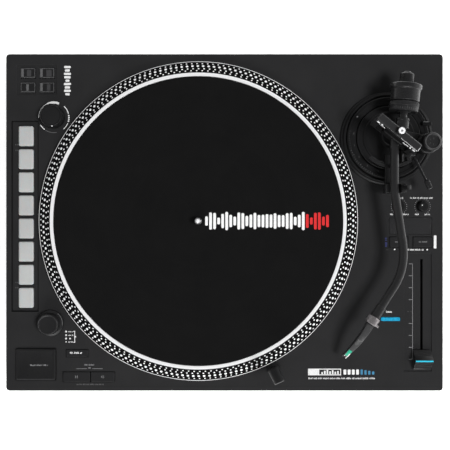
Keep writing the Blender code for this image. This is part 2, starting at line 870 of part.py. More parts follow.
def build_arm_base():
    centre = (PIVOT_X, PIVOT_Y, 0)
    base = make_turned(
        "arm_base",
        [
            (28.2, deck(3.0)),
            (43.2, deck(3.0)),
            (43.2, deck(6.0)),
            (44.6, deck(6.6)),
            (45.6, deck(6.0)),
            (46.2, deck(3.4)),
            (48.3, deck(2.2)),
            (48.3, deck(0.3)),
            (31.0, deck(0.3)),
            (31.0, deck(-16.0)),
            (28.2, deck(-16.0)),
        ],
        40,
        BLACK_METAL,
        centre,
    )
    ring = make_turned(
        "arm_height_ring",
        [
            (33.4, deck(3.4)),
            (42.6, deck(3.4)),
            (42.6, deck(8.0)),
            (41.4, deck(9.6)),
            (34.4, deck(9.6)),
            (33.4, deck(8.6)),
        ],
        40,
        BLACK_METAL,
        centre,
    )
    return base, ring


def rest_place():
    """The frame of the arm rest: x across the tube, y up, z along the tube."""
    turn = Matrix(((1, 0, 0, 0), (0, 0, -1, 0), (0, 1, 0, 0), (0, 0, 0, 1)))
    return Matrix.Translation(Vector((REST_X, REST_Y, deck(ARM_AXIS))) * MM) @ turn


def build_pillar():
    """The height-adjusted pillar, with the arm rest, the lift housing and the anti-skate bracket."""
    centre = (PIVOT_X, PIVOT_Y, 0)
    pillar = make_turned(
        "arm_pillar",
        [
            (0, deck(PILLAR_TOP)),
            (9.2, deck(PILLAR_TOP)),
            (10.0, deck(PILLAR_TOP - 0.8)),
            (10.6, deck(13.0)),
            (26.0, deck(13.0)),
            (26.6, deck(12.4)),
            (26.6, deck(11.0)),
            (32.2, deck(11.0)),
            (32.8, deck(10.4)),
            (32.8, deck(3.5)),
            (27.8, deck(3.5)),
            (27.8, deck(-15.0)),
            (0, deck(-15.0)),
        ],
        32,
        BLACK_METAL,
        centre,
    )

    brackets = bmesh.new()
    add_box(brackets, (*LIFT_LOW, deck(11.8)), (*LIFT_HIGH, deck(22.6)))
    join(pillar, make_tool("lift_housing", brackets))

    skate = bmesh.new()
    add_rod(skate, (*ANTI_SKATE, deck(12.2)), (*ANTI_SKATE, deck(23.6)), 10.4, 24)
    join(pillar, make_tool("anti_skate_boss", skate))
    link = bmesh.new()
    near = point_at(-10.8, 9.0)
    along = Vector((ANTI_SKATE[0] - near[0], ANTI_SKATE[1] - near[1], 0))
    middle = ((ANTI_SKATE[0] + near[0]) / 2, (ANTI_SKATE[1] + near[1]) / 2, deck(15.6))
    matrix = Matrix.Translation(Vector(middle) * MM) @ Matrix.Rotation(math.atan2(along.y, along.x), 4, "Z")
    size = Matrix.Diagonal((along.length * MM, 17.0 * MM, 7.6 * MM, 1.0))
    bmesh.ops.create_cube(link, size=1.0, matrix=matrix @ size)
    join(pillar, make_tool("anti_skate_link", link))

    beam = bmesh.new()
    add_box(beam, (REST_X - 5, REST_Y - 4, deck(12.0)), (REST_X + 5, PIVOT_Y - 18, deck(17.0)))
    join(pillar, make_tool("rest_beam", beam))
    cradle = bmesh.new()
    outline = (
        (-6.6, -23.0),
        (9.7, -23.0),
        (10.8, -20.0),
        (10.8, 5.6),
        (6.0, 5.6),
        (5.2, -1.0),
        (5.2, -TUBE_RADIUS - GAP),
        (-7.8, -TUBE_RADIUS - GAP),
        (-7.8, -8.0),
    )
    add_prism(cradle, outline, rest_place(), 9.0)
    join(pillar, make_tool("rest_cradle", cradle))

    bores = bmesh.new()
    add_rod(bores, (PIVOT_X, PIVOT_Y, deck(14.0)), (PIVOT_X, PIVOT_Y, deck(40)), 5.4, 20)
    add_rod(bores, (*ANTI_SKATE, deck(15.0)), (*ANTI_SKATE, deck(40)), 3.4, 14)
    add_rod(bores, (*LIFT_POST, deck(13.8)), (*LIFT_POST, deck(40)), 2.0, 14)
    shaft_z = deck(LEVER_Z)
    add_rod(bores, (LIFT_HIGH[0] - 3.2, LEVER_Y, shaft_z), (LIFT_HIGH[0] + 5, LEVER_Y, shaft_z), 1.9, 12)
    slot_x = REST_X + CLIP_HINGE[0]
    slot_z = deck(ARM_AXIS + CLIP_HINGE[1])
    add_box(bores, (slot_x - 4.0, REST_Y - 2.4, slot_z - 3.0), (slot_x + 6.0, REST_Y + 2.4, slot_z + 9.0))
    cut(pillar, make_tool("pillar_bores", bores))
    pin = bmesh.new()
    add_rod(pin, (slot_x, REST_Y - 9, slot_z), (slot_x, REST_Y + 9, slot_z), 1.3, 12)
    cut(pillar, make_tool("clip_pin_bore", pin))
    return pillar


def build_rest_clip():
    """The hook that locks the tube in its rest, swung open."""
    hinge = (REST_X + CLIP_HINGE[0], REST_Y, deck(ARM_AXIS + CLIP_HINGE[1]))
    inner = TUBE_RADIUS + 0.8
    outer = inner + 1.6
    sweep = [math.radians(15 + 165 * step / 8) for step in range(9)]
    outline = [(outer * math.cos(turn), outer * math.sin(turn)) for turn in sweep]
    outline += [(inner * math.cos(turn), inner * math.sin(turn)) for turn in reversed(sweep)]
    mesh = bmesh.new()
    add_prism(mesh, outline, rest_place(), 4.0)
    turn = Matrix.Rotation(math.radians(CLIP_OPEN_ANGLE), 4, "Y")
    spot = Matrix.Translation(Vector(hinge) * MM)
    bmesh.ops.transform(mesh, matrix=spot @ turn @ spot.inverted(), verts=mesh.verts[:])
    clip = make_object("arm_rest_clip", mesh, BLACK_PLASTIC, hinge)
    barrel = bmesh.new()
    add_rod(barrel, (hinge[0], REST_Y - 2.0, hinge[2]), (hinge[0], REST_Y + 2.0, hinge[2]), 2.4, 14)
    join(clip, make_tool("clip_barrel", barrel))
    pin = bmesh.new()
    add_rod(pin, (hinge[0], REST_Y - 4.4, hinge[2]), (hinge[0], REST_Y + 4.4, hinge[2]), 1.0, 10)
    join(clip, make_tool("clip_pin", pin))
    return clip


def build_anti_skate():
    return make_turned(
        "anti_skate_knob",
        [
            (0, deck(38.6)),
            (6.6, deck(38.6)),
            (7.0, deck(39.6)),
            (8.4, deck(39.6)),
            (9.2, deck(38.6)),
            (9.2, deck(24.1)),
            (3.0, deck(24.1)),
            (3.0, deck(15.6)),
            (0, deck(15.6)),
        ],
        24,
        BLACK_METAL,
        (*ANTI_SKATE, 0),
    )


def build_cue():
    """The cue lever on its cross shaft and the curved lift bar under the tube."""
    hinge = (LIFT_HIGH[0] + 2.6, LEVER_Y, deck(LEVER_Z))
    mesh = bmesh.new()
    add_rod(mesh, (LIFT_HIGH[0] + 0.5, LEVER_Y, hinge[2]), (hinge[0] + 2.2, LEVER_Y, hinge[2]), 3.2, 16)
    lever = make_object("cue_lever", mesh, STEEL, hinge)
    shaft = bmesh.new()
    add_rod(shaft, (LIFT_HIGH[0] - 2.7, LEVER_Y, hinge[2]), (hinge[0], LEVER_Y, hinge[2]), 1.5, 12)
    join(lever, make_tool("lever_shaft", shaft))
    tip = (206.0, 38.5, deck(25.5))
    rod = bmesh.new()
    add_rod(rod, (hinge[0] + 0.6, LEVER_Y - 1.2, hinge[2]), tip, 1.4, 10)
    join(lever, make_tool("lever_rod", rod))
    paddle = bmesh.new()
    add_block(paddle, (-2.6, -5.0, -1.7), (2.6, 4.6, 1.7), corner=2.0, corner_segments=2, top=0.8)
    place = Matrix.Translation(Vector(tip) * MM) @ Matrix.Rotation(math.radians(23), 4, "Z")
    bmesh.ops.transform(paddle, matrix=place, verts=paddle.verts[:])
    join(lever, make_tool("lever_paddle", paddle))

    inner = [point_at(-52 - 84 * step / 10, LIFT_RADIUS - 1.6)[:2] for step in range(11)]
    outer = [point_at(-52 - 84 * step / 10, LIFT_RADIUS + 1.6)[:2] for step in range(11)]
    bar = bmesh.new()
    place = Matrix.Translation((0, 0, deck(25.6) * MM))
    add_prism(bar, outer + inner[::-1], place, 2.0)
    lift = make_object("cue_lift", bar, BLACK_METAL, (*LIFT_POST, deck(25.6)))
    post = bmesh.new()
    add_rod(post, (*LIFT_POST, deck(14.4)), (*LIFT_POST, deck(26.2)), 1.6, 12)
    join(lift, make_tool("lift_post", post))
    return lever, lift


def build_yoke():
    """The gimbal yoke: an upright frame that turns on the pillar and carries the tilt pins."""
    place = Matrix.Translation(Vector((PIVOT_X, PIVOT_Y, 0)) * MM) @ Matrix.Rotation(
        math.radians(TILT_ANGLE), 4, "Z"
    )
    mesh = bmesh.new()
    add_block(mesh, (-25, -5, deck(25.2)), (25, 3, deck(61)), corner=1.2, top=1.2)
    bmesh.ops.transform(mesh, matrix=place, verts=mesh.verts[:])
    yoke = make_object("gimbal_yoke", mesh, BLACK_METAL, (PIVOT_X, PIVOT_Y, deck(ARM_AXIS)))
    window = bmesh.new()
    add_box(window, (-19, -9, deck(28.2)), (19, 9, deck(54)))
    bmesh.ops.transform(window, matrix=place, verts=window.verts[:])
    cut(yoke, make_tool("yoke_window", window))
    sockets = bmesh.new()
    add_rod(sockets, (-22.5, 0, deck(ARM_AXIS)), (-17, 0, deck(ARM_AXIS)), 2.4, 14)
    add_rod(sockets, (17, 0, deck(ARM_AXIS)), (22.5, 0, deck(ARM_AXIS)), 2.4, 14)
    bmesh.ops.transform(sockets, matrix=place, verts=sockets.verts[:])
    cut(yoke, make_tool("tilt_sockets", sockets))
    posts = bmesh.new()
    add_rod(posts, (PIVOT_X, PIVOT_Y, deck(14.5)), (PIVOT_X, PIVOT_Y, deck(26.5)), 5.0, 20)
    add_rod(posts, (PIVOT_X, PIVOT_Y, deck(59.5)), (PIVOT_X, PIVOT_Y, deck(67.0)), 3.7, 20)
    join(yoke, make_tool("yoke_posts", posts))
    screws = bmesh.new()
    for side in (-1, 1):
        for offset in (17.5, 22.0):
            add_rod(screws, (side * offset, -4.5, deck(56)), (side * offset, -5.8, deck(56)), 1.5, 10)
    bmesh.ops.transform(screws, matrix=place, verts=screws.verts[:])
    join(yoke, make_tool("yoke_screws", screws))
    return yoke


def tube_path():
    """Points along the S-shaped tube, walked from the pivot, and the direction at its end."""
    point = Vector((PIVOT_X, PIVOT_Y, deck(ARM_AXIS)))
    points = [point.copy()]
    for length, first, last in TUBE_BENDS:
        steps = 1 if first == last else 6
        for step in range(steps):
            angle = first + (last - first) * (step + 0.5) / steps
            point = point + heading(angle) * (length / steps)
            points.append(point.copy())
    return points


def curve_to_mesh(name, points, radius, material):
    """A round bar along a line of points, with closed ends, as a mesh object."""
    curve = bpy.data.curves.new(f"{name}_line", "CURVE")
    curve.dimensions = "3D"
    curve.bevel_depth = radius * MM
    curve.bevel_resolution = 3
    curve.use_fill_caps = True
    spline = curve.splines.new("POLY")
    spline.points.add(len(points) - 1)
    for knot, point in zip(spline.points, points):
        knot.co = (*(point * MM), 1.0)
    guide = bpy.data.objects.new(f"{name}_line", curve)
    TOOLS.objects.link(guide)
    bpy.context.view_layer.update()
    graph = bpy.context.evaluated_depsgraph_get()
    data = bpy.data.meshes.new_from_object(guide.evaluated_get(graph))
    mesh = bmesh.new()
    mesh.from_mesh(data)
    bmesh.ops.remove_doubles(mesh, verts=mesh.verts[:], dist=0.00001)
    bmesh.ops.recalc_face_normals(mesh, faces=mesh.faces[:])
    bpy.data.objects.remove(guide, do_unlink=True)
    return make_object(name, mesh, material, (PIVOT_X, PIVOT_Y, deck(ARM_AXIS)), smooth=True)


def rear_point(distance, side=0.0):
    """A point on the line of the rear shaft, at the height of the tilt axis."""
    base = Vector((PIVOT_X + REAR_OFFSET, PIVOT_Y, deck(ARM_AXIS)))
    return base + heading(REAR_ANGLE) * distance + heading(REAR_ANGLE - 90) * side


def build_tube():
    tube = curve_to_mesh("tonearm_tube", tube_path(), TUBE_RADIUS, BLACK_METAL)
    place = Matrix.Translation(Vector((PIVOT_X, PIVOT_Y, deck(ARM_AXIS))) * MM) @ Matrix.Rotation(
        math.radians(TILT_ANGLE), 4, "Z"
    )
    block = bmesh.new()
    add_block(block, (-11, -5.5, -6.6), (11, 5.5, 6.6), corner=1.0, top=1.0)
    bmesh.ops.transform(block, matrix=place, verts=block.verts[:])
    join(tube, make_tool("tube_block", block))
    pins = bmesh.new()
    add_rod(pins, (-22, 0, 0), (22, 0, 0), 2.0, 12)
    bmesh.ops.transform(pins, matrix=place, verts=pins.verts[:])
    join(tube, make_tool("tilt_pins", pins))
    sleeve = bmesh.new()
    add_rod(sleeve, rear_point(2), rear_point(16.5), 6.6, 20)
    join(tube, make_tool("rear_sleeve", sleeve))
    shaft = bmesh.new()
    add_rod(shaft, rear_point(10), rear_point(63), 4.0, 16)
    join(tube, make_tool("rear_shaft", shaft))
    ahead = heading(HEAD_ANGLE)
    socket_end = tube_path()[-1] - ahead * (COLLAR_LENGTH / 2 - COLLAR_AHEAD + GAP)
    socket = bmesh.new()
    add_rod(socket, socket_end - ahead * SOCKET_LENGTH, socket_end, SOCKET_RADIUS, 18)
    join(tube, make_tool("head_socket", socket))
    return tube


def build_balance():
    """The threaded bush on the rear shaft, with the counterweight and the force dial turning on it."""
    direction = heading(REAR_ANGLE)
    origin = rear_point(0)
    bush = make_turned(
        "weight_bush",
        [(4.35, 21.6), (7.0, 21.6), (7.0, 60.2), (6.2, 61.0), (4.35, 61.0)],
        20,
        BLACK_METAL,
        origin,
        direction,
    )
    weight = make_turned(
        "counterweight",
        [
            (7.35, 32.5),
            (14.0, 32.5),
            (14.5, 33.0),
            (14.5, 44.4),
            (15.8, 45.4),
            (15.8, 49.2),
            (15.0, 50.0),
            (7.35, 50.0),
        ],
        32,
        BLACK_METAL,
        origin,
        direction,
    )
    dial = make_turned(
        "balance_dial",
        [
            (7.35, 22.4),
            (13.8, 22.4),
            (14.6, 23.2),
            (14.6, 31.4),
            (13.8, 32.1),
            (7.35, 32.1),
        ],
        32,
        BLACK_PLASTIC,
        origin,
        direction,
    )
    return bush, weight, dial


def build_head():
    """The locking collar at the end of the tube and the slim cartridge plugged into it."""
    end = tube_path()[-1]
    direction = heading(HEAD_ANGLE)
    centre = end + direction * COLLAR_AHEAD
    half = COLLAR_LENGTH / 2
    bore = TUBE_RADIUS + 0.35
    collar = make_turned(
        "head_collar",
        [
            (bore, -half),
            (5.7, -half),
            (6.25, -half + 0.6),
            (6.25, half - 0.6),
            (5.7, half),
            (bore, half),
        ],
        24,
        STEEL,
        centre,
        direction,
    )
    turn = math.radians(HEAD_ANGLE)
    across = Vector((-math.sin(turn), math.cos(turn), 0))
    place = Matrix.Translation(centre * MM) @ Matrix(
        (
            (direction.x, 0, -across.x, 0),
            (direction.y, 0, -across.y, 0),
            (0, 1, 0, 0),
            (0, 0, 0, 1),
        )
    )
    outline = (
        (4.8, 4.1),
        (12.6, 4.3),
        (24.0, 1.4),
        (35.4, -6.8),
        (44.0, -14.6),
        (47.8, -18.6),
        (47.2, -20.6),
        (43.4, -20.2),
        (36.4, -14.6),
        (26.0, -8.4),
        (14.4, -4.6),
        (4.8, -4.1),
    )
    body = bmesh.new()
    add_prism(body, outline, Matrix(), CARTRIDGE_WIDTH)
    for vert in body.verts:
        vert.co.z *= 1 - CARTRIDGE_TAPER * vert.co.x / MM
    bmesh.ops.transform(body, matrix=place, verts=body.verts[:])
    cartridge = make_object("cartridge", body, GREY_PLASTIC, centre)
    bevel = cartridge.modifiers.new("edges", "BEVEL")
    bevel.width = 1.0 * MM
    bevel.segments = 1
    bevel.limit_method = "ANGLE"
    bevel.angle_limit = math.radians(60)
    plug = bmesh.new()
    add_rod(plug, centre - direction * 1.6, centre + direction * 6.5, 4.0, 16)
    join(cartridge, make_tool("cartridge_plug", plug))
    needle = bmesh.new()
    top = centre + direction * 45.6 + Vector((0, 0, -19.0))
    add_rod(needle, top, top + direction * 0.6 + Vector((0, 0, -3.5)), 1.0, 8, 0.35)
    join(cartridge, make_tool("stylus", needle))
    return collar, cartridge


def attach(parent, children):
    """Parents each child without moving it."""
    for child in children:
        child.parent = parent
        child.matrix_parent_inverse = parent.matrix_world.inverted()


def main():
    plinth = build_plinth()
    tray = build_tray()
    feet = build_feet()
    platter, mat, spindle, rotor = build_platter()
    stator, bearing = build_motor()
    boards = build_boards()
    sockets = [build_inlet(), build_usb(), build_rca(), build_ground(), *build_switches()]
    controls = [
        *build_pads(),
        *build_mode_buttons(),
        *build_left_buttons(),
        *build_right_buttons(),
        *build_knobs(),
        build_fader(),
        build_lamp(),
    ]
    base, ring = build_arm_base()
    pillar = build_pillar()
    clip = build_rest_clip()
    knob = build_anti_skate()
    lever, lift = build_cue()
    yoke = build_yoke()
    tube = build_tube()
    bush, weight, dial = build_balance()
    collar, cartridge = build_head()

    bpy.context.view_layer.update()
    attach(tray, [plinth, *feet, *boards, *sockets])
    attach(plinth, [platter, stator, bearing, *controls, base])
    attach(platter, [mat, spindle, rotor])
    attach(base, [ring, pillar])
    attach(pillar, [clip, knob, lever, lift, yoke])
    attach(yoke, [tube])
    attach(tube, [bush, collar, cartridge])
    attach(bush, [weight, dial])


main()
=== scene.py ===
"""Turntable record player: fine surfaces, printed marks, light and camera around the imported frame."""

import math
import random

import bmesh
import bpy
from mathutils import Matrix, Vector


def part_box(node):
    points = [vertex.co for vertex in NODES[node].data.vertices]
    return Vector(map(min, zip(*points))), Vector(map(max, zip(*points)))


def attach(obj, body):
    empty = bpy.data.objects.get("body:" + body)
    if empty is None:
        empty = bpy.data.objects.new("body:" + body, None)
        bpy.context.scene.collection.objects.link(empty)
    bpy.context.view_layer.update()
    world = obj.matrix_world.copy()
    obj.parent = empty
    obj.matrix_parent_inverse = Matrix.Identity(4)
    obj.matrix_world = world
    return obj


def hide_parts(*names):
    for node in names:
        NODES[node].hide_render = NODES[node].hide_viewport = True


# Places and sizes in millimetres and degrees; heights above the deck go through deck() or up().
MM = 0.001
DECK = 88.5
PLATTER = (-27.2, 1.4)
RIM_INNER = 153.8
RIM_OUTER = 165.2
RIM_TOP = 10
RIM_LOW = 5.3
RIM_FALL = (RIM_TOP - RIM_LOW) / (RIM_OUTER - RIM_INNER)
RIM_STEPS = 288
MAT_TOP = 10.6
SPINDLE_HOLE = 3.95
PIVOT = (169.5, 87.5)
ARM_Z = DECK + 36
TUBE_RADIUS = 4.25
TILT_ANGLE = -39
HEAD_ANGLE = -122.5
REAR_ANGLE = 84
COLLAR = (147.672, -97.781, ARM_Z)
REAR = (176, 87.5, ARM_Z)
ANTI_SKATE = (206.9, 80.4)
UPPER_KNOB = (-178.8, 109.9)
LOWER_KNOB = (-181.8, -105.2)
TRIM_KNOBS = {"torque_knob": (182.7, 16.6), "brake_knob": (207.3, 16.6)}
LAMP = (51.8, -152.5)
FADER = (206.5, -143.4)
BAY_Z = 44.5
FOOT_SPOT = (184, 134)
PRINT_LIFT = 0.06
SMOOTH_ANGLE = 32
SOFT_ANGLE = 50
MODE_BUTTONS = [f"mode_button_{index + 1}" for index in range(4)]
SMALL_KEYS = ("reverse_button", "speed_button_33", "speed_button_45", "pitch_range_button_1",
              "pitch_range_button_2")

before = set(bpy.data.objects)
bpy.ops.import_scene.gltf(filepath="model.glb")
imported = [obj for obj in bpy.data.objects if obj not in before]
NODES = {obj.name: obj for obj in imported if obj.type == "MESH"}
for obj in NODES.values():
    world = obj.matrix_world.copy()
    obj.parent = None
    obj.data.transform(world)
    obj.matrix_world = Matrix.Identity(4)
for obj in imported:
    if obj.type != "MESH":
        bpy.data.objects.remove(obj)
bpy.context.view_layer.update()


# Surfaces ---------------------------------------------------------------------------------------


class Surface:
    """A Principled material whose colour, roughness and bump come from object-space patterns."""

    MIX_COLOURS = (6, 7)
    MIX_RESULT = 2

    def __init__(self, name, slot, **sockets):
        self.material = bpy.data.materials.new(name)
        self.material.use_nodes = True
        self.tree = self.material.node_tree
        self.shader = self.tree.nodes["Principled BSDF"]
        self.place = self.node("TexCoord").outputs["Object"]
        for socket, value in sockets.items():
            self.put(value, socket.replace("_", " "))

    def node(self, kind, inputs=None, **settings):
        made = self.tree.nodes.new("ShaderNode" + kind)
        for key, value in settings.items():
            setattr(made, key, value)
        for key, value in (inputs or {}).items():
            self.feed(made.inputs[key], value)
        return made

    def feed(self, socket, value):
        """Links an output to the socket, or sets the socket to a plain value."""
        if isinstance(value, bpy.types.NodeSocket):
            self.tree.links.new(value, socket)
        else:
            socket.default_value = value

    def put(self, value, socket):
        self.feed(self.shader.inputs[socket], value)

    def noise(self, scale, detail=2, roughness=0.5, vector=None):
        inputs = {"Scale": scale, "Detail": detail, "Roughness": roughness, "Vector": vector or self.place}
        return self.node("TexNoise", inputs).outputs["Fac"]

    def cells(self, scale):
        return self.node("TexVoronoi", {"Scale": scale, "Vector": self.place}).outputs["Distance"]

    def ramp(self, value, stops):
        made = self.node("ValToRGB", {"Fac": value})
        while len(made.color_ramp.elements) < len(stops):
            made.color_ramp.elements.new(0.5)
        for element, (at, colour) in zip(made.color_ramp.elements, stops):
            element.position = at
            element.color = (*colour, 1)
        return made.outputs["Color"]

    def remap(self, value, low, high, to_low, to_high):
        inputs = {"Value": value, "From Min": low, "From Max": high, "To Min": to_low, "To Max": to_high}
        return self.node("MapRange", inputs).outputs["Result"]

    def compute(self, operation, first, second):
        return self.node("Math", {0: first, 1: second}, operation=operation).outputs["Value"]

    def vector(self, operation, first, second, output="Vector"):
        return self.node("VectorMath", {0: first, 1: second}, operation=operation).outputs[output]

    def blend(self, factor, first, second):
        """A colour between two, each an output or a plain colour."""
        made = self.node("Mix", {"Factor": factor}, data_type="RGBA")
        for index, value in zip(self.MIX_COLOURS, (first, second)):
            self.feed(made.inputs[index], (*value, 1) if isinstance(value, tuple) else value)
        return made.outputs[self.MIX_RESULT]

    def weighted(self, first, share, second):
        """Two patterns added, the first by its share and the second by the rest."""
        rest = self.compute("MULTIPLY", second, 1 - share)
        return self.compute("ADD", self.compute("MULTIPLY", first, share), rest)

    def stretched(self, scale, turn):
        """Object coordinates turned and stretched, for brushed patterns."""
        angles = [math.radians(angle) for angle in turn]
        inputs = {"Rotation": angles, "Scale": scale, "Vector": self.place}
        return self.node("Mapping", inputs).outputs["Vector"]

    def rings_about(self, centre):
        """Coordinates that change only with the distance from an upright line through centre."""
        shifted = self.vector("SUBTRACT", self.place, (centre[0] * MM, centre[1] * MM, 0))
        flat = self.vector("MULTIPLY", shifted, (1, 1, 0))
        radius = self.vector("LENGTH", flat, (0, 0, 0), "Value")
        return self.node("CombineXYZ", {"X": radius}).outputs["Vector"]

    def edges(self, radius=0.5):
        """1 on edges and corners, 0 on flat ground."""
        soft = self.node("Bevel", {"Radius": radius * MM}, samples=3).outputs["Normal"]
        face = self.node("NewGeometry").outputs["Normal"]
        return self.remap(self.vector("DOT_PRODUCT", soft, face, "Value"), 0.995, 0.86, 0, 1)

    def finish(self, tone, gloss, height, strength, depth):
        """Joins colour, roughness and bump to the shader; depth is in millimetres."""
        self.put(tone, "Base Color")
        self.put(gloss, "Roughness")
        bump = self.node("Bump", {"Strength": strength, "Distance": depth * MM, "Height": height})
        self.put(bump.outputs["Normal"], "Normal")
        return self.material


def grey(value, blue=0):
    return (value, value, value + blue)


def greys(dark, light, blue=0):
    return grey(dark, blue), grey(light, blue)


def moulded(name, slot, tones, rough, grain, strength, depth, edge_wear_and_highlight=None, **sockets):
    """Moulded or coated ground: cloudy tone, fine grain in the bump, and optional lighter edges, partly
    rubbed wear and partly painted highlight.
    """
    made = Surface(name, slot, **sockets)
    speck = made.noise(grain, 3, 0.6)
    tone = made.ramp(made.noise(22, 4, 0.6), [(0.3, tones[0]), (0.72, tones[1])])
    fleck = tuple(min(1, channel * 1.5 + 0.004) for channel in tones[1])
    tone = made.blend(made.remap(speck, 0.55, 0.8, 0, 0.5), tone, fleck)
    if edge_wear_and_highlight:
        # Edge mask times random patches: lighter chamfers, partly rubbed wear and partly a painted highlight
        # where light catches them.
        patches = made.remap(made.noise(160, 3, 0.7), 0.35, 0.6, 0.35, 1)
        tone = made.blend(made.compute("MULTIPLY", made.edges(), patches), tone, edge_wear_and_highlight)
    return made.finish(tone, made.remap(speck, 0.3, 0.7, *rough), speck, strength, depth)


def brushed(name, slot, tones, rough, scale=(1, 1, 60), turn=(0, 0, 0), **sockets):
    """Metal with fine drawn lines."""
    made = Surface(name, slot, **sockets)
    lines = made.noise(420, 4, 0.65, made.stretched(scale, turn))
    mixed = made.weighted(lines, 0.6, made.noise(45, 3, 0.5))
    tone = made.ramp(mixed, [(0.3, tones[0]), (0.7, tones[1])])
    return made.finish(tone, made.remap(lines, 0.3, 0.7, *rough), lines, 0.12, 0.02)


def lathed(name, slot, centre, tones, rough, **sockets):
    """Metal turned on a lathe about an upright axis: rings of fine tool marks."""
    made = Surface(name, slot, **sockets)
    around = made.rings_about(centre)
    rings = made.noise(2600, 3, 0.7, around)
    mixed = made.weighted(rings, 0.5, made.noise(260, 2, 0.5, around))
    tone = made.ramp(mixed, [(0.3, tones[0]), (0.7, tones[1])])
    smudge = made.remap(made.noise(38, 3, 0.6), 0.4, 0.8, 0, 0.08)
    gloss = made.compute("ADD", made.remap(rings, 0.3, 0.7, *rough), smudge)
    return made.finish(tone, gloss, rings, 0.15, 0.01)


def ink(name, slot, colour):
    """Screen-printed ink: slightly uneven cover; some of these inks also paint highlights and shade."""
    made = Surface(name, slot)
    cover = made.noise(900, 3, 0.6)
    thin = tuple(channel * 0.85 for channel in colour)
    tone = made.ramp(cover, [(0.35, thin), (0.6, colour)])
    return made.finish(tone, made.remap(cover, 0.3, 0.7, 0.42, 0.58), cover, 0.1, 0.01)


def glowing(name, slot, colour, strength):
    """A lit lens whose colour varies in soft clouds across its diffuser."""
    made = Surface(name, slot, Emission_Strength=strength)
    cloud = made.noise(260)
    tone = made.ramp(cloud, [(0.3, tuple(channel * 0.72 for channel in colour)), (0.7, colour)])
    made.put(tone, "Emission Color")
    return made.finish(tone, made.remap(cloud, 0.3, 0.7, 0.22, 0.32), cloud, 0.08, 0.02)


def felt(name, slot, centre):
    """Pressed black wool: matted fibres, pilling and faint rings where records have turned."""
    made = Surface(name, slot, Sheen_Weight=0.03, Sheen_Roughness=0.6, Specular_IOR_Level=0.06)
    fibre = made.noise(2300, 6, 0.75)
    patch = made.noise(30, 4, 0.65)
    ring = made.noise(120, 2, 0.5, made.rings_about(centre))
    tone = made.ramp(fibre, [(0.3, grey(0.003, 0.0001)), (0.6, grey(0.0056, 0.0001)), (0.85, grey(0.012))])
    tone = made.blend(made.remap(patch, 0.35, 0.75, 0, 0.35), tone, (0.0078, 0.0077, 0.0076))
    tone = made.blend(made.remap(ring, 0.45, 0.7, 0, 0.25), tone, grey(0.0068))
    height = made.compute("ADD", fibre, made.compute("MULTIPLY", made.cells(900), 0.5))
    return made.finish(tone, made.remap(fibre, 0.3, 0.7, 0.86, 1), height, 0.6, 0.25)


CASE = moulded("powder_coat", "case_black", greys(0.016, 0.02, 0.0006), (0.5, 0.62), 1500, 0.22, 0.05,
               grey(0.036, 0.001), Specular_IOR_Level=0.15)
TRAY = moulded("moulded_rubber", "tray_rubber", greys(0.012, 0.019), (0.66, 0.82), 1100, 0.4, 0.08,
               (0.032, 0.031, 0.03), Specular_IOR_Level=0.3)
FOOT = moulded("foot_rubber", "foot_rubber", greys(0.012, 0.02), (0.62, 0.8), 900, 0.4, 0.08,
               (0.04, 0.04, 0.038), Specular_IOR_Level=0.3)
PLASTIC = moulded("satin_plastic", "black_plastic", greys(0.0125, 0.0165, 0.0007), (0.34, 0.46), 1700, 0.18,
                  0.03, grey(0.034, 0.001), Specular_IOR_Level=0.25)
CAP = moulded("cap_plastic", "black_plastic", greys(0.0105, 0.0145, 0.0005), (0.26, 0.38), 1500, 0.12, 0.03,
              grey(0.04, 0.001), Specular_IOR_Level=0.3)
KNOB = moulded("knob_rubber", "black_plastic", greys(0.006, 0.0095, 0.0004), (0.42, 0.55), 1300, 0.2, 0.04,
               grey(0.02, 0.001), Specular_IOR_Level=0.22)
PAD = moulded("pad_silicone", "pad_silicone", ((0.385, 0.39, 0.39), (0.435, 0.445, 0.44)), (0.42, 0.55),
              1300, 0.14, 0.03, Subsurface_Weight=0.08, Subsurface_Scale=0.002)
SHELL = moulded("cartridge_lacquer", "cartridge_shell", greys(0.028, 0.042, 0.001), (0.26, 0.36), 1500,
                0.12, 0.03, grey(0.1), Specular_IOR_Level=0.4)
ARM = moulded("anodised_black", "arm_black", greys(0.012, 0.0165, 0.0005), (0.26, 0.36), 1900, 0.08, 0.02,
              grey(0.024, 0.001), Specular_IOR_Level=0.4)
YOKE = moulded("yoke_anodised", "arm_black", greys(0.0155, 0.021, 0.0006), (0.36, 0.46), 1900, 0.08, 0.02,
               Specular_IOR_Level=0.32)
WEIGHT = moulded("weight_black", "weight_metal", greys(0.012, 0.0165, 0.0005), (0.22, 0.32), 1700, 0.08,
                 0.02, grey(0.03, 0.001), Specular_IOR_Level=0.35)
MAGNET = moulded("ferrite", "magnet", greys(0.04, 0.07, 0.003), (0.5, 0.7), 700, 0.3, 0.06)
BOARD = moulded("circuit_board", "board", ((0.008, 0.05, 0.02), (0.015, 0.085, 0.035)), (0.3, 0.45), 600,
                0.2, 0.05)
GLASS = moulded("smoked_window", "display_lens", greys(0.017, 0.021, 0.0009), (0.14, 0.2), 500, 0.02, 0.01,
                Specular_IOR_Level=0.3)
GREEN_TIP = moulded("green_tip", "cartridge_shell", ((0.01, 0.32, 0.19), (0.02, 0.42, 0.26)), (0.2, 0.3),
                    1200, 0.08, 0.02)
IVORY = moulded("white_guard", "cartridge_shell", greys(0.66, 0.76, -0.02), (0.3, 0.42), 1300, 0.1, 0.02)
RED_PLASTIC = moulded("red_plastic", "black_plastic", ((0.35, 0.012, 0.012), (0.48, 0.02, 0.018)),
                      (0.28, 0.4), 1300, 0.1, 0.02)
WHITE_PLASTIC = moulded("white_plastic", "black_plastic", greys(0.6, 0.7, -0.02), (0.28, 0.4), 1300, 0.1,
                        0.02)
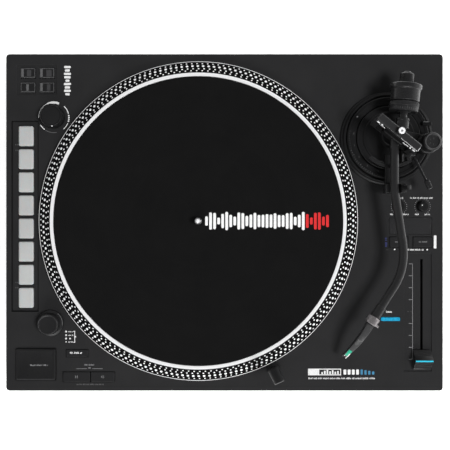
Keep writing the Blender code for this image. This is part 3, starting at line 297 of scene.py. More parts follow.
# Turned anodised black made darker than ARM: painted shade standing for the shadow over the arm base; the
# tool rings are real.
SHADED_ARM_RINGS = lathed("anodised_turned_painted_shade", "arm_black", PIVOT, greys(0.005, 0.0125, 0.0004), (0.32, 0.44),
                   Specular_IOR_Level=0.22)
POLISHED = lathed("polished_alloy", "platter_alloy", PLATTER, greys(0.8, 0.95, 0.008), (0.34, 0.46),
                  Metallic=0.25)
RIM_PAINT = lathed("rim_paint", "platter_alloy", PLATTER, greys(0.0022, 0.0045, 0.0002), (0.55, 0.65),
                   Specular_IOR_Level=0.05)
DOT = brushed("dot_metal", "platter_alloy", greys(0.74, 0.92, 0.01), (0.34, 0.46), Metallic=0.1)
STEEL = brushed("plated_steel", "steel", greys(0.55, 0.78, 0.01), (0.18, 0.3), Metallic=0.9)
BRIGHT = brushed("bright_edge", "steel", greys(0.72, 0.88, 0.01), (0.3, 0.42), Metallic=0.1)
COLLAR_METAL = brushed("collar_metal", "steel", ((0.25, 0.23, 0.235), (0.4, 0.38, 0.385)), (0.24, 0.36),
                       (60, 1, 1), (0, 0, -HEAD_ANGLE), Metallic=0.75)
DARK_STEEL = brushed("blackened_steel", "steel", greys(0.01, 0.022, 0.001), (0.25, 0.4), Metallic=0.3)
FELT = felt("pressed_felt", "mat_felt", PLATTER)
BLUE = glowing("blue_lens", "blue_lens", (0.01, 0.27, 0.46), 0.22)
WHITE_INK = ink("white_ink", "case_black", grey(0.72))
PALE_INK = ink("pale_ink", "case_black", grey(0.2, 0.005))
# The dim and faint inks serve for print and also for painted highlights on knobs, edges and scale marks.
DIM_PRINT_AND_HIGHLIGHT = ink("dim_ink_and_painted_highlight", "case_black", grey(0.1, 0.002))
FAINT_PRINT_AND_HIGHLIGHT = ink("faint_ink_and_painted_highlight", "case_black", grey(0.04, 0.002))
# Near-black ink for painted shade in the gaps round keys and along the pad tray walls.
GAP_SHADE_INK = ink("painted_gap_shade", "case_black", grey(0.0035, 0.0002))
BLUE_INK = ink("blue_ink", "case_black", (0.05, 0.2, 0.34))
VIOLET_INK = ink("violet_ink", "case_black", (0.05, 0.06, 0.2))
CYAN_INK = ink("cyan_ink", "black_plastic", (0.03, 0.48, 0.66))
RED_INK = ink("red_ink", "mat_felt", (0.62, 0.028, 0.03))
MAT_INK = ink("mat_ink", "mat_felt", grey(0.8))


# Shapes -----------------------------------------------------------------------------------------


def deck(height):
    return DECK + height


def up(*points):
    """A profile of (radius, height above the deck)."""
    return [(radius, DECK + height) for radius, height in points]


def box_of(node):
    """A CAD node's lowest and highest corners in millimetres."""
    low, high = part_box(node)
    return low / MM, high / MM


def as_object(name, mesh, material=None):
    data = bpy.data.meshes.new(name)
    mesh.to_mesh(data)
    mesh.free()
    if material:
        data.materials.append(material)
    made = bpy.data.objects.new(name, data)
    bpy.context.scene.collection.objects.link(made)
    return made


def mount(piece, body):
    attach(piece, body)


def finish_piece(name, mesh, material, body, sharp=SMOOTH_ANGLE, stands_for=None):
    """Stores the mesh as a piece that rides on a body, and may stand for a CAD node."""
    bmesh.ops.recalc_face_normals(mesh, faces=mesh.faces[:])
    piece = as_object(name, mesh, material)
    piece.data.shade_smooth()
    piece.data.set_sharp_from_angle(angle=math.radians(sharp))
    mount(piece, body)
    if stands_for:
        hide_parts(stands_for)
    return piece


def rounded(profile, radius, steps=3):
    """The profile with its corners turned into small arcs; points on the axis stay."""
    closed = all(point[0] > 0 for point in profile)
    made = []
    count = len(profile)
    for index, point in enumerate(profile):
        inner = closed or 0 < index < count - 1
        here = Vector(point)
        back = Vector(profile[index - 1]) - here
        ahead = Vector(profile[(index + 1) % count]) - here
        if not inner or back.length < 1e-6 or ahead.length < 1e-6 or back.angle(ahead) > math.radians(165):
            made.append(point)
            continue
        reach = min(radius, back.length * 0.45, ahead.length * 0.45)
        start = here + back.normalized() * reach
        end = here + ahead.normalized() * reach
        for step in range(steps + 1):
            part = step / steps
            made.append(tuple(start.lerp(here, part).lerp(here.lerp(end, part), part)))
    return made


def bridge(mesh, loops, closed=False):
    """Faces between loops of vertices; a loop of one vertex is a point."""
    for first, second in zip(loops, loops[1:] + loops[:1] if closed else loops[1:]):
        steps = max(len(first), len(second))
        for step in range(steps):
            after = (step + 1) % steps
            near = (first[step], first[after]) if len(first) > 1 else (first[0],)
            far = (second[after], second[step]) if len(second) > 1 else (second[0],)
            if len(near) + len(far) > 2:
                mesh.faces.new((*near, *far))


def circle(mesh, place, radius, height, steps, ribs=None):
    """A level ring of vertices about place's Z, or one vertex on it."""
    if radius < 1e-6:
        return [mesh.verts.new(place @ Vector((0, 0, height * MM)))]
    ring = []
    for step in range(steps):
        turn = 2 * math.pi * step / steps
        reach = radius
        if ribs and ribs[2] <= height <= ribs[3]:
            reach -= ribs[1] * (0.5 + 0.5 * math.cos(ribs[0] * turn))
        spot = Vector((math.cos(turn) * reach, math.sin(turn) * reach, height)) * MM
        ring.append(mesh.verts.new(place @ spot))
    return ring


def lathe_into(mesh, profile, place, steps, ribs=None):
    """Turns a profile of (radius, height) about place's Z. ribs is (count, depth, lowest, highest)."""
    rings = [circle(mesh, place, radius, height, steps, ribs) for radius, height in profile]
    bridge(mesh, rings, closed=all(len(ring) > 1 for ring in rings))


def standing(centre, height=0):
    return Matrix.Translation(Vector((centre[0], centre[1], height)) * MM)


def lying(centre, axis):
    """A place at centre whose Z points along axis."""
    turn = Vector(axis).to_track_quat("Z", "Y").to_matrix().to_4x4()
    return Matrix.Translation(Vector(centre) * MM) @ turn


def turned(centre, height, angle):
    """A place at that height in millimetres, turned about Z by an angle in degrees."""
    return standing(centre, height) @ Matrix.Rotation(math.radians(angle), 4, "Z")


def lathe(name, profile, place, steps, material, body, ribs=None, soft=0.5, stands_for=None):
    mesh = bmesh.new()
    lathe_into(mesh, rounded(profile, soft) if soft else profile, place, steps, ribs)
    return finish_piece(name, mesh, material, body, stands_for=stands_for)


def block_into(mesh, low, high, radius, segments=3, place=None):
    """A box with all its edges rounded."""
    low = Vector(low) * MM
    high = Vector(high) * MM
    matrix = Matrix.Translation((low + high) / 2) @ Matrix.Diagonal((*(high - low), 1))
    verts = bmesh.ops.create_cube(mesh, size=1, matrix=matrix)["verts"]
    edges = list({edge for vert in verts for edge in vert.link_edges})
    made = bmesh.ops.bevel(mesh, geom=edges, offset=radius * MM, segments=segments, profile=0.5,
                           affect="EDGES")
    if place:
        found = {vert for face in made["faces"] for vert in face.verts}
        bmesh.ops.transform(mesh, matrix=place, verts=list(found))


def blocks(name, boxes, material, body, place=None):
    """Rounded boxes, each (low, high, radius, segments), as one piece."""
    mesh = bmesh.new()
    for box in boxes:
        block_into(mesh, *box, place=place)
    return finish_piece(name, mesh, material, body)


def block(name, low, high, radius, material, body, segments=3, place=None):
    return blocks(name, [(low, high, radius, segments)], material, body, place)


def rod_into(mesh, start, end, radius, segments=24, end_radius=None):
    start = Vector(start) * MM
    end = Vector(end) * MM
    along = end - start
    place = Matrix.Translation((start + end) / 2) @ along.to_track_quat("Z", "Y").to_matrix().to_4x4()
    far = (radius if end_radius is None else end_radius) * MM
    bmesh.ops.create_cone(mesh, cap_ends=True, segments=segments, radius1=radius * MM, radius2=far,
                          depth=along.length, matrix=place)


def rods(name, ends, material, body, stands_for=None):
    """Round bars, each (start, end, radius, segments, end radius), as one piece."""
    mesh = bmesh.new()
    for end in ends:
        rod_into(mesh, *end)
    return finish_piece(name, mesh, material, body, stands_for=stands_for)


def prism_into(mesh, outline, place, thickness, radius=0, segments=2):
    """An outline in place's XY plane, made thick along its Z, with rounded rims."""
    half = thickness * MM / 2
    verts = [mesh.verts.new(place @ Vector((x * MM, y * MM, -half))) for x, y in outline]
    face = mesh.faces.new(verts)
    grown = bmesh.ops.extrude_face_region(mesh, geom=[face])["geom"]
    top = [item for item in grown if isinstance(item, bmesh.types.BMVert)]
    bmesh.ops.translate(mesh, verts=top, vec=place.to_3x3() @ Vector((0, 0, 2 * half)))
    if radius:
        members = set(verts) | set(top)
        rims = [edge for edge in mesh.edges if edge.verts[0] in members and edge.verts[1] in members]
        bmesh.ops.bevel(mesh, geom=rims, offset=radius * MM, segments=segments, profile=0.5, affect="EDGES")


def prism(name, outline, place, thickness, radius, segments, material, body, sharp=SMOOTH_ANGLE,
          stands_for=None):
    mesh = bmesh.new()
    prism_into(mesh, outline, place, thickness, radius, segments)
    return finish_piece(name, mesh, material, body, sharp, stands_for)


def tapered(name, outline, place, thickness, radius, material, sharp=SMOOTH_ANGLE, stands_for=None):
    """An outline made thick on the tonearm, whose sides close in towards its far end."""
    mesh = bmesh.new()
    prism_into(mesh, outline, Matrix(), thickness, radius, 3)
    for vert in mesh.verts:
        vert.co.z *= 1 - 0.0085 * vert.co.x / MM
    bmesh.ops.transform(mesh, matrix=place, verts=mesh.verts[:])
    return finish_piece(name, mesh, material, "tonearm", sharp, stands_for)


def cut_away(piece, name, mesh, body):
    """Cuts a hidden tool's shape out of a piece."""
    tool = as_object(name, mesh)
    tool.hide_render = True
    tool.display_type = "WIRE"
    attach(tool, body)
    cut = piece.modifiers.new(name, "BOOLEAN")
    cut.object = tool
    cut.solver = "EXACT"


# Printed marks ----------------------------------------------------------------------------------


def around(centre, angle, distance):
    """The point at an angle in degrees and a distance from a centre."""
    turn = math.radians(angle)
    return centre[0] + distance * math.cos(turn), centre[1] + distance * math.sin(turn)


def rectangle(x0, y0, x1, y1, corner=0):
    if not corner:
        return [(x0, y0), (x1, y0), (x1, y1), (x0, y1)]
    west, east, south, north = x0 + corner, x1 - corner, y0 + corner, y1 - corner
    made = []
    for quarter, spot in enumerate(((east, north), (west, north), (west, south), (east, south))):
        made += [around(spot, quarter * 90 + step * 30, corner) for step in range(4)]
    return made


def disc(x, y, radius, sides=14):
    return [around((x, y), 360 * step / sides, radius) for step in range(sides)]


def stroke(start, end, width):
    along = (Vector(end) - Vector(start)).normalized() * width / 2
    side = Vector((-along.y, along.x))
    return [Vector(start) + side, Vector(start) - side, Vector(end) - side, Vector(end) + side]


def frame_lines(x0, y0, x1, y1, width):
    half = width / 2
    return [
        rectangle(x0 - half, y0 - half, x1 + half, y0 + half),
        rectangle(x0 - half, y1 - half, x1 + half, y1 + half),
        rectangle(x0 - half, y0 + half, x0 + half, y1 - half),
        rectangle(x1 - half, y0 + half, x1 + half, y1 - half),
    ]


def arc(x, y, radius, width, first, last):
    """A band of a circle as short four-cornered pieces."""
    steps = max(2, int(abs(last - first) / 7))
    turns = [first + (last - first) * step / steps for step in range(steps + 1)]
    inner = [around((x, y), turn, radius - width / 2) for turn in turns]
    outer = [around((x, y), turn, radius + width / 2) for turn in turns]
    return [[outer[step], outer[step + 1], inner[step + 1], inner[step]] for step in range(steps)]


def caption(x0, y0, x1, y1, seed, upright=False):
    """A line of small plain strokes that stands where a label is, and spells nothing."""
    pick = random.Random(seed)
    length, size = (y1 - y0, x1 - x0) if upright else (x1 - x0, y1 - y0)
    made = []
    at = 0
    in_word = pick.randint(3, 6)
    while at < length - size * 0.3:
        width = size * pick.choice((0.22, 0.34, 0.42))
        tall = size * pick.choice((0.72, 0.86, 1))
        if upright:
            made.append(rectangle(x0 + (size - tall) / 2, y0 + at, x0 + (size + tall) / 2, y0 + at + width))
        else:
            made.append(rectangle(x0 + at, y0, x0 + at + width, y0 + tall))
        at += width + size * 0.22
        in_word -= 1
        if in_word == 0:
            at += size * 0.45
            in_word = pick.randint(3, 7)
    return made


def printed(name, shapes, height, material, body="chassis"):
    """Thin flat shapes on a level surface at that height above the deck: print, and in places painted
    highlights and painted shade.
    """
    mesh = bmesh.new()
    level = deck(height) + PRINT_LIFT
    for shape in shapes:
        face = mesh.faces.new([mesh.verts.new(Vector((x, y, level)) * MM) for x, y in shape])
        face.normal_update()
        if face.normal.z < 0:
            face.normal_flip()
    piece = as_object(name, mesh, material)
    mount(piece, body)
    return piece


def number(name, text, x, y, size, height, body, material=DIM_PRINT_AND_HIGHLIGHT):
    """A plain number, cut as flat shapes."""
    curve = bpy.data.curves.new(name, "FONT")
    curve.body = text
    curve.size = size * MM
    curve.align_x = "CENTER"
    curve.align_y = "CENTER"
    curve.extrude = 0.01 * MM
    curve.materials.append(material)
    piece = bpy.data.objects.new(name, curve)
    piece.location = Vector((x, y, deck(height) + 0.07)) * MM
    bpy.context.scene.collection.objects.link(piece)
    mount(piece, body)


# Kept CAD nodes ---------------------------------------------------------------------------------


def dress(node, material, edge=0, segments=2, angle=SMOOTH_ANGLE):
    """Gives a CAD node its surface, and rounds its edges by modifiers."""
    piece = NODES[node]
    piece.data.materials.clear()
    piece.data.materials.append(material)
    if edge:
        piece.modifiers.new("weld", "WELD").merge_threshold = 0.00001
        bevel = piece.modifiers.new("edges", "BEVEL")
        bevel.width = edge * MM
        bevel.segments = segments
        bevel.limit_method = "ANGLE"
        bevel.angle_limit = math.radians(angle)
        bevel.harden_normals = True


def dress_kept():
    dress("deck_plinth", CASE, 0.4, 2, SOFT_ANGLE)
    dress("bottom_tray", TRAY, 0.5, 2, SOFT_ANGLE)
    dress("gimbal_yoke", YOKE, 0.4, 3, SOFT_ANGLE)
    dress("rotor_magnet", MAGNET)
    dress("mains_inlet", PLASTIC, 0.4)
    dress("power_switch", CAP, 0.5)
    dress("line_switch", CAP, 0.2)
    dress("usb_socket", STEEL, 0.15)
    dress("display_window", GLASS, 0.3)
    dress("pitch_reset_button", BLUE, 0.2)
    dress("arm_rest_clip", KNOB, 0.35)
    dress("cue_lift", ARM, 0.3)
    for node in ("motor_stator", "main_board", "power_supply_board"):
        dress(node, BOARD)
    for node in ("spindle_bearing", "rca_sockets", "ground_terminal"):
        dress(node, STEEL)
    for node in MODE_BUTTONS:
        dress(node, CAP, 0.3)
    for node in SMALL_KEYS:
        dress(node, PLASTIC, 0.3)


# Platter ----------------------------------------------------------------------------------------


def build_platter():
    profile = up((SPINDLE_HOLE, 8.7), (149.95, 8.7), (149.95, RIM_TOP), (RIM_INNER, RIM_TOP),
                 (RIM_OUTER, RIM_LOW), (166, RIM_LOW), (166, 1.5), (157, 1.5), (155.5, -4.5), (150, -4.5),
                 (148, 5.2), (20, 5.2), (20, -0.5), (SPINDLE_HOLE, -0.5))
    lathe("platter_casting", profile, standing(PLATTER), RIM_STEPS, POLISHED, "platter", soft=0.3,
          stands_for="platter")
    # Painted shade: a dark ring under the mat's edge stands for the shadow in the gap by the polished lip.
    painted_ring("platter_well_shade", up((147.5, 8.75), (149.9, 8.75)))
    painted_ring("strobe_band", up((153.45, 10.05), (153.85, 10.03), (165.2, 5.36), (165.45, 5.36)))
    build_dots()


def painted_ring(name, skin):
    """A painted skin on the platter, given as points of (radius, height)."""
    mesh = bmesh.new()
    bridge(mesh, [circle(mesh, standing(PLATTER), radius, height, RIM_STEPS) for radius, height in skin])
    finish_piece(name, mesh, RIM_PAINT, "platter")


def build_dots():
    """Four rows of small bright studs on the sloping rim, the second from outside larger."""
    mesh = bmesh.new()
    slope = Matrix.Rotation(math.atan(RIM_FALL), 4, "Y")
    rows = ((186, 163.5, 0.74, 0.84, -0.514), (180, 160.75, 1.22, 1.42, 0.166),
            (174, 157.75, 0.84, 0.92, 0.897), (168, 155.5, 0.74, 0.84, 0.602))
    for count, radius, wide, tall, first in rows:
        height = deck(RIM_TOP) - (radius - RIM_INNER) * RIM_FALL
        for index in range(count):
            spoke = turned(PLATTER, height, 360 * index / count + first)
            place = spoke @ Matrix.Translation(Vector((radius, 0, 0)) * MM) @ slope
            rim = []
            top = []
            for step in range(10):
                x, y = around((0, 0), 36 * step, 1)
                rim.append(mesh.verts.new(place @ (Vector((x * wide, y * tall, 0.04)) * MM)))
                top.append(mesh.verts.new(place @ (Vector((x * wide * 0.7, y * tall * 0.7, 0.22)) * MM)))
            bridge(mesh, [rim, top])
            mesh.faces.new(top)
    finish_piece("strobe_studs", mesh, DOT, "platter", 60)


def build_slipmat():
    """Felt disc, about 300 mm across, with a soft uneven top and a slightly fuzzy edge."""
    pick = random.Random(7)
    mesh = bmesh.new()
    place = standing(PLATTER)
    steps = 240
    rings = []
    for radius in (SPINDLE_HOLE, 6, *(12 + 6 * step for step in range(23)), 148.4, 149.1, 149.5):
        dip = 0.5 if radius > 149.4 else (0.12 if radius > 149 else 0)
        ring = []
        for step in range(steps):
            reach = radius + (pick.uniform(-0.12, 0.04) if radius > 149 else 0)
            height = deck(MAT_TOP) - dip - pick.uniform(0, 0.05)
            x, y = around((0, 0), 360 * step / steps, reach)
            ring.append(mesh.verts.new(place @ (Vector((x, y, height)) * MM)))
        rings.append(ring)
    rings += [circle(mesh, place, radius, deck(9), steps) for radius in (149.4, SPINDLE_HOLE)]
    bridge(mesh, rings, closed=True)
    mat = finish_piece("felt_mat", mesh, FELT, "slipmat", SOFT_ANGLE, "slipmat")

    shapes = []
    white = 25
    for index in range(white + 6):
        x = -20 + index * 4.16
        wave = abs(math.sin(index * 0.83 + 0.6)) * 0.55 + abs(math.sin(index * 2.17)) * 0.45
        half = 2.6 + 6.9 * wave
        shapes.append(rectangle(x, PLATTER[1] - half, x + 2.9, PLATTER[1] + half, 1.2))
    wave_white = printed("mat_wave_white", shapes[:white], MAT_TOP, MAT_INK, "slipmat")
    wave_red = printed("mat_wave_red", shapes[white:], MAT_TOP, RED_INK, "slipmat")


def build_spindle():
    profile = up((0, 24.3), (1.8, 24), (3.1, 22.8), (3.6, 20.5), (3.6, -1), (9, -1), (9, -3), (3.6, -3),
                 (3.6, -35), (0, -36.5))
    lathe("centre_spindle", profile, standing(PLATTER), 48, STEEL, "platter", soft=0.6, stands_for="spindle")
    # Painted highlight: a bright cap on the steel spindle stands for the light caught on its top.
    tip = up((0, 24.5), (1.5, 24.32), (1.9, 23.9), (0, 23.8))
    lathe("spindle_top_highlight", tip, standing(PLATTER), 32, BRIGHT, "platter", soft=0.1)


# Left-hand controls -----------------------------------------------------------------------------


def stepped_key(name, node, material, rims):
    """A key in its node's box: outlines of (inset, drop from the top, corner), and None for the bottom."""
    low, high = box_of(node)
    mesh = bmesh.new()
    loops = []
    for inset, drop, corner in rims:
        shape = rectangle(low.x + inset, low.y + inset, high.x - inset, high.y - inset, corner)
        height = low.z if drop is None else high.z - drop
        loops.append([mesh.verts.new(Vector((x, y, height)) * MM) for x, y in shape])
    bridge(mesh, loops)
    mesh.faces.new(loops[-1])
    mesh.faces.new(loops[0][::-1])
    finish_piece(name, mesh, material, node, SOFT_ANGLE, node)


def build_pads():
    for index in range(8):
        rims = ((0, None, 1.7), (0, 0.75, 1.7), (0.7, 0.16, 1.2), (1.6, 0, 0.9))
        stepped_key(f"drum_pad_{index + 1}", f"pad_{index + 1}", PAD, rims)


def build_start_button():
    """A broad key, slightly hollowed, with a rounded rim and a painted highlight along its front edge."""
    node = "start_stop_button"
    rims = ((0, None, 1.2), (0, 0.7, 1.2), (0.35, 0.12, 1), (0.9, 0, 0.8), (2.2, 0, 0.6), (2.9, 0.22, 0.5))
    stepped_key("start_key", node, CAP, rims)
    low, high = box_of(node)
    # Painted highlight: a pale line along the key's front edge.
    line = [rectangle(low.x + 1.2, low.y + 0.5, high.x - 1.2, low.y + 1)]
    printed("start_key_front_highlight", line, high.z - DECK - 0.04, FAINT_PRINT_AND_HIGHLIGHT, node)


def build_knobs():
    stem = ((3, 0.5), (3, -6.5), (0, -6.5))
    node = "encoder_knob_upper"
    upper = up((0, 13.2), (8.6, 13.2), (9.6, 13.6), (10.2, 13.6), (11.3, 12.6), (12, 0.5), *stem)
    lathe("upper_encoder", upper, standing(UPPER_KNOB), 144, KNOB, node, (36, 0.5, deck(1.2), deck(11.6)),
          stands_for=node)
    plate = up((0, 13.45), (8.9, 13.45), (9.3, 13.35), (9.3, 13.1), (0, 13.1))
    lathe("upper_encoder_plate", plate, standing(UPPER_KNOB), 96, CAP, node, soft=0.1)
    spot = (UPPER_KNOB[0] + 1.2, UPPER_KNOB[1] - 10.5)
    lathe("upper_encoder_dot", up((0, 13.6), (0.6, 13.5), (0.8, 12.8), (0, 12.8)), standing(spot), 20,
          BRIGHT, node, soft=0.1)
    node = "encoder_knob_lower"
    lower = up((0, 13.6), (8.4, 13.6), (9.2, 14), (9.6, 14), (10.6, 13), (11.2, 4), (13.6, 3.2), (14, 0.5),
               *stem)
    lathe("lower_encoder", lower, standing(LOWER_KNOB), 144, CAP, node, (36, 0.4, deck(4.6), deck(12.2)),
          stands_for=node)
    # Painted highlights: a partial light ring on the top rim, a lit crescent on the right of the skirt and a
    # light sliver at its front foot.
    printed("lower_encoder_rim_highlight", arc(*LOWER_KNOB, 9.4, 0.35, -20, 200), 14, FAINT_PRINT_AND_HIGHLIGHT, node)
    printed("lower_encoder_skirt_highlight", arc(*LOWER_KNOB, 12.7, 0.9, -8, 52), 3.5, DIM_PRINT_AND_HIGHLIGHT, node)
    printed("lower_encoder_foot_highlight", arc(*LOWER_KNOB, 12.4, 0.9, -112, -72), 3.5, FAINT_PRINT_AND_HIGHLIGHT, node)
    small = up((0, 6.5), (4.4, 6.5), (5.5, 5.6), (5.9, 0.5), (2, 0.5), (2, -6.5), (0, -6.5))
    for node, (x, y) in TRIM_KNOBS.items():
        lathe(f"{node}_cap", small, standing((x, y)), 96, KNOB, node, (24, 0.5, deck(0.8), deck(5.4)), 0.4,
              node)
        printed(f"{node}_mark", [disc(x - 2, y + 1.2, 0.6, 12)], 6.5, WHITE_INK, node)


def print_left():
    motif = []
    for index, wide in enumerate((4.6, 7.2, 5.6, 7.4, 4.2, 6.6, 7.4, 5.2, 7)):
        y = 133 + index * 3.55
        motif.append(rectangle(-164.5 - wide / 2, y, -164.5 + wide / 2, y + 2.5, 0.9))
    printed("side_motif", motif, 0, WHITE_INK)

    bright = []
    for radius, width, first, last in ((15.9, 0.7, 116, 182), (15.9, 0.9, 14, 47), (15.9, 0.9, 209, 233),
                                       (15.9, 0.8, -50, -22), (15.9, 1.5, 100, 116), (15.7, 2.2, 76, 100),
                                       (15.5, 2.4, 69, 76)):
        bright += arc(*UPPER_KNOB, radius, width, first, last)
    bright += [disc(*around(UPPER_KNOB, turn, 15.9), 0.85, 10) for turn in (-14, -7, 0, 7)]
    printed("upper_knob_ring", bright, 0, WHITE_INK)
    printed("upper_knob_ring_faint", arc(*UPPER_KNOB, 15.9, 0.6, 236, 281), 0, DIM_PRINT_AND_HIGHLIGHT)

    dots = [disc(x, y, 0.55, 10) for y in (81.5, 75.8, -62.9, -68.5) for x in (-218.9, -216.9)]
    printed("pad_row_dots", dots, -1.5, DIM_PRINT_AND_HIGHLIGHT)

    light = []
    for row, y in enumerate((-114.4, -118, -121.6, -125.1)):
        light.append(disc(-165.9, y, 0.95 if row < 3 else 0.7, 12))
        if row == 2:
            light.append(disc(-161.7, y, 0.95, 12))
        else:
            light += caption(-163.4, y - 0.7, -158.2, y + 0.7, 3 + row)
    light += [rectangle(-157.3, -125.9, -156.5, -113.6), rectangle(-158.3, -125.9, -157.3, -125.1)]
    light += [rectangle(-158.3, -114.4, -157.3, -113.6)]
    light.append([(-156.5, -118.6), (-156.5, -120.8), (-155, -119.7)])
    printed("mode_square", light, 0, WHITE_INK)

    printed("start_label", caption(-203.2, -150, -184.4, -148.2, 12), 1.8, PALE_INK, "start_stop_button")
    printed("reverse_label", caption(-161.6, -137.4, -148.4, -135.4, 14), 0.8, WHITE_INK, "reverse_button")
    speed = caption(-146.6, -149.9, -136.4, -148.2, 21)
    speed += [rectangle(-155, -153.4, -144.2, -152.9), rectangle(-138.4, -153.4, -127.6, -152.9)]
    speed += [rectangle(-142.6, -152.9, -140.2, -151.9)]
    printed("speed_label", speed, 0, PALE_INK)
    for text, x in (("33", -154.9), ("45", -127.6)):
        number(f"speed_{text}_number", text, x, -161.7, 3.6, 0.9, f"speed_button_{text}", PALE_INK)
    printed("front_left_label", caption(-155, -170.2, -126, -168.8, 31), 0, DIM_PRINT_AND_HIGHLIGHT)


def print_seams():
    """Painted shade: a dark line that stands for the shade in the gap round each key, and along the walls
    inside the tray of the pads.
    """
    lines = []
    for node in ("start_stop_button", *SMALL_KEYS):
        low, high = box_of(node)
        wide = 1 if node == "start_stop_button" else 0.7
        out = 0.06 + wide / 2
        lines += frame_lines(low.x - out, low.y - out, high.x + out, high.y + out, wide)
    printed("key_gap_shade", lines, 0, GAP_SHADE_INK)
    printed("pad_tray_wall_shade", frame_lines(-222.65, -93.05, -195.35, 105.95, 1.3), -1.5, GAP_SHADE_INK)


def print_mode_buttons():
    spans = ((0.42, 0.74), (0.46, 0.84), (0.38, 0.56), (0.5, 0.76))
    for node, (first, last) in zip(MODE_BUTTONS, spans):
        low, high = box_of(node)
        x0, x1, y0, y1 = low.x + 0.5, high.x - 0.5, low.y + 0.5, high.y - 0.5
        wide = x1 - x0
        plain = node == MODE_BUTTONS[2]
        lines = frame_lines(x0, y0, x1, y1, 0.45)
        lines.append(rectangle(x0, y0, x1, y0 + 0.7))
        if not plain:
            lines.append(rectangle(x0, y0, x0 + 0.19 * wide, y1))
        printed(f"{node}_frame", lines, 0.6, DIM_PRINT_AND_HIGHLIGHT, node)
        icon = [rectangle(x0 + first * wide, y0 + 1.3, x0 + last * wide, y1 - 1.3, 0.4)]
        printed(f"{node}_icon", icon, 0.6, DIM_PRINT_AND_HIGHLIGHT if plain else FAINT_PRINT_AND_HIGHLIGHT, node)


# Right-hand controls ----------------------------------------------------------------------------


def print_right():
    labels = caption(176.6, 24.9, 187, 26.5, 41) + caption(194.5, 24.9, 219.1, 26.5, 42)
    for x0, x1 in ((173.4, 177), (187, 193.4), (199.3, 204.5), (209.4, 215.8)):
        labels += caption(x0, 7.7, x1, 9.2, int(x0))
    printed("trim_labels", labels, 0, WHITE_INK)
    turns = [-60 + index * 15 for index in range(21)]
    rings = [disc(*around(centre, turn, 8.2), 0.42, 8) for centre in TRIM_KNOBS.values() for turn in turns]
    printed("trim_rings", rings, 0, PALE_INK)

    printed("range_label", caption(203.3, -21, 212, -19.7, 51), 0.7, PALE_INK, "pitch_range_button_2")
    printed("range_label_1", caption(178.4, -21, 187, -19.7, 52), 0.7, PALE_INK, "pitch_range_button_1")
    printed("pitch_side_blue", caption(168, -25.5, 170.2, -15.5, 53, True), 0, VIOLET_INK)
    printed("range_row_dim", caption(169.2, -29.2, 172.6, -28, 54), 0, FAINT_PRINT_AND_HIGHLIGHT)
    row = [disc(178.2, -28.3, 0.8, 12), *caption(190.6, -29.4, 208.2, -27.6, 55),
           disc(212.2, -28.6, 0.8, 12)]
    printed("range_row", row, 0, WHITE_INK)
    printed("deck_lamp_bar", [rectangle(219.1, -27.2, 221.9, -13.6, 0.7)], 0, WHITE_INK)

    scale = [rectangle(196.85, -143.4, 197.35, -43.4)]
    for index in (0, 1, 2, 3, 5, 6, 7, 8):
        y = -43.4 - index * 12.5
        scale.append(rectangle(193.2, y - 0.3, 197, y + 0.3))
    printed("pitch_scale", scale, -1, PALE_INK)
    printed("pitch_centre", [rectangle(194.4, -93.6, 196.6, -93.2), disc(192.4, -93.4, 0.7, 10)], -1,
            FAINT_PRINT_AND_HIGHLIGHT)
    printed("reset_label", caption(169.2, -94.6, 176.8, -92.6, 61), 0, WHITE_INK)

    box = frame_lines(87.9, -159.6, 121.6, -153.6, 0.9)
    box += [rectangle(88.4, -159.2, 99.2, -154, 0.8)]
    for index, tall in enumerate((2.2, 3.6, 4.6, 3, 4.2, 2.6, 3.4)):
        x = 101.4 + index * 2.75
        box.append(rectangle(x, -158.9, x + 1.7, -158.9 + tall))
    printed("front_motif", box, 0, WHITE_INK)
    tail = [rectangle(x, -159.4, x + 2.9, -154, 0.7) for x in (124.6, 129, 133.4, 137.8)]
    printed("front_motif_tail", tail, 0, WHITE_INK)
    tail = [rectangle(142.4 + 4 * step, -159.4, 144.8 + 4 * step, -154 - 0.7 * step, 0.6)
            for step in range(4)]
    printed("front_motif_blue", tail, 0, BLUE_INK)
    printed("front_motif_line", caption(88, -164.1, 157.5, -162.3, 71), 0, WHITE_INK)


def build_fader():
    """The pitch fader's cap: a ridge between two hollowed slopes, with finger grooves."""
    x, y = FADER

    def rise(reach):
        return 2.8 + 8.4 * ((10.4 - reach) / 8.9) ** 1.8

    reaches = [10.4 - 8.9 * step / 8 for step in range(9)]
    half = [(10.4, 0.6)] + [(reach, rise(reach)) for reach in reaches]
    outline = half + [(-reach, height) for reach, height in reversed(half)]
    place = standing(FADER, DECK) @ Matrix(((0, 0, 1, 0), (1, 0, 0, 0), (0, 1, 0, 0), (0, 0, 0, 1)))
    prism("fader_cap", outline, place, 18.4, 0.25, 2, CAP, "pitch_fader", 40, "pitch_fader")
    block("fader_stem", (x - 0.9, y - 3.5, deck(-17)), (x + 0.9, y + 3.5, deck(2)), 0.2, PLASTIC,
          "pitch_fader")
    grips = []
    for reach in (5.4, 6.9, 8.4):
        for at in (y - reach, y + reach):
            low = (x - 8.4, at - 0.28, deck(rise(reach) - 0.5))
            grips.append((low, (x + 8.4, at + 0.28, deck(rise(reach) + 0.35)), 0.15, 2))
    blocks("fader_grip", grips, CAP, "pitch_fader")
    block("fader_line", (x - 9.15, y - 0.75, deck(11)), (x + 9.15, y + 0.75, deck(11.4)), 0.15, CYAN_INK,
          "pitch_fader", 2)


# Tonearm ----------------------------------------------------------------------------------------


def heading(angle):
    return Vector((*around((0, 0), angle, 1), 0))


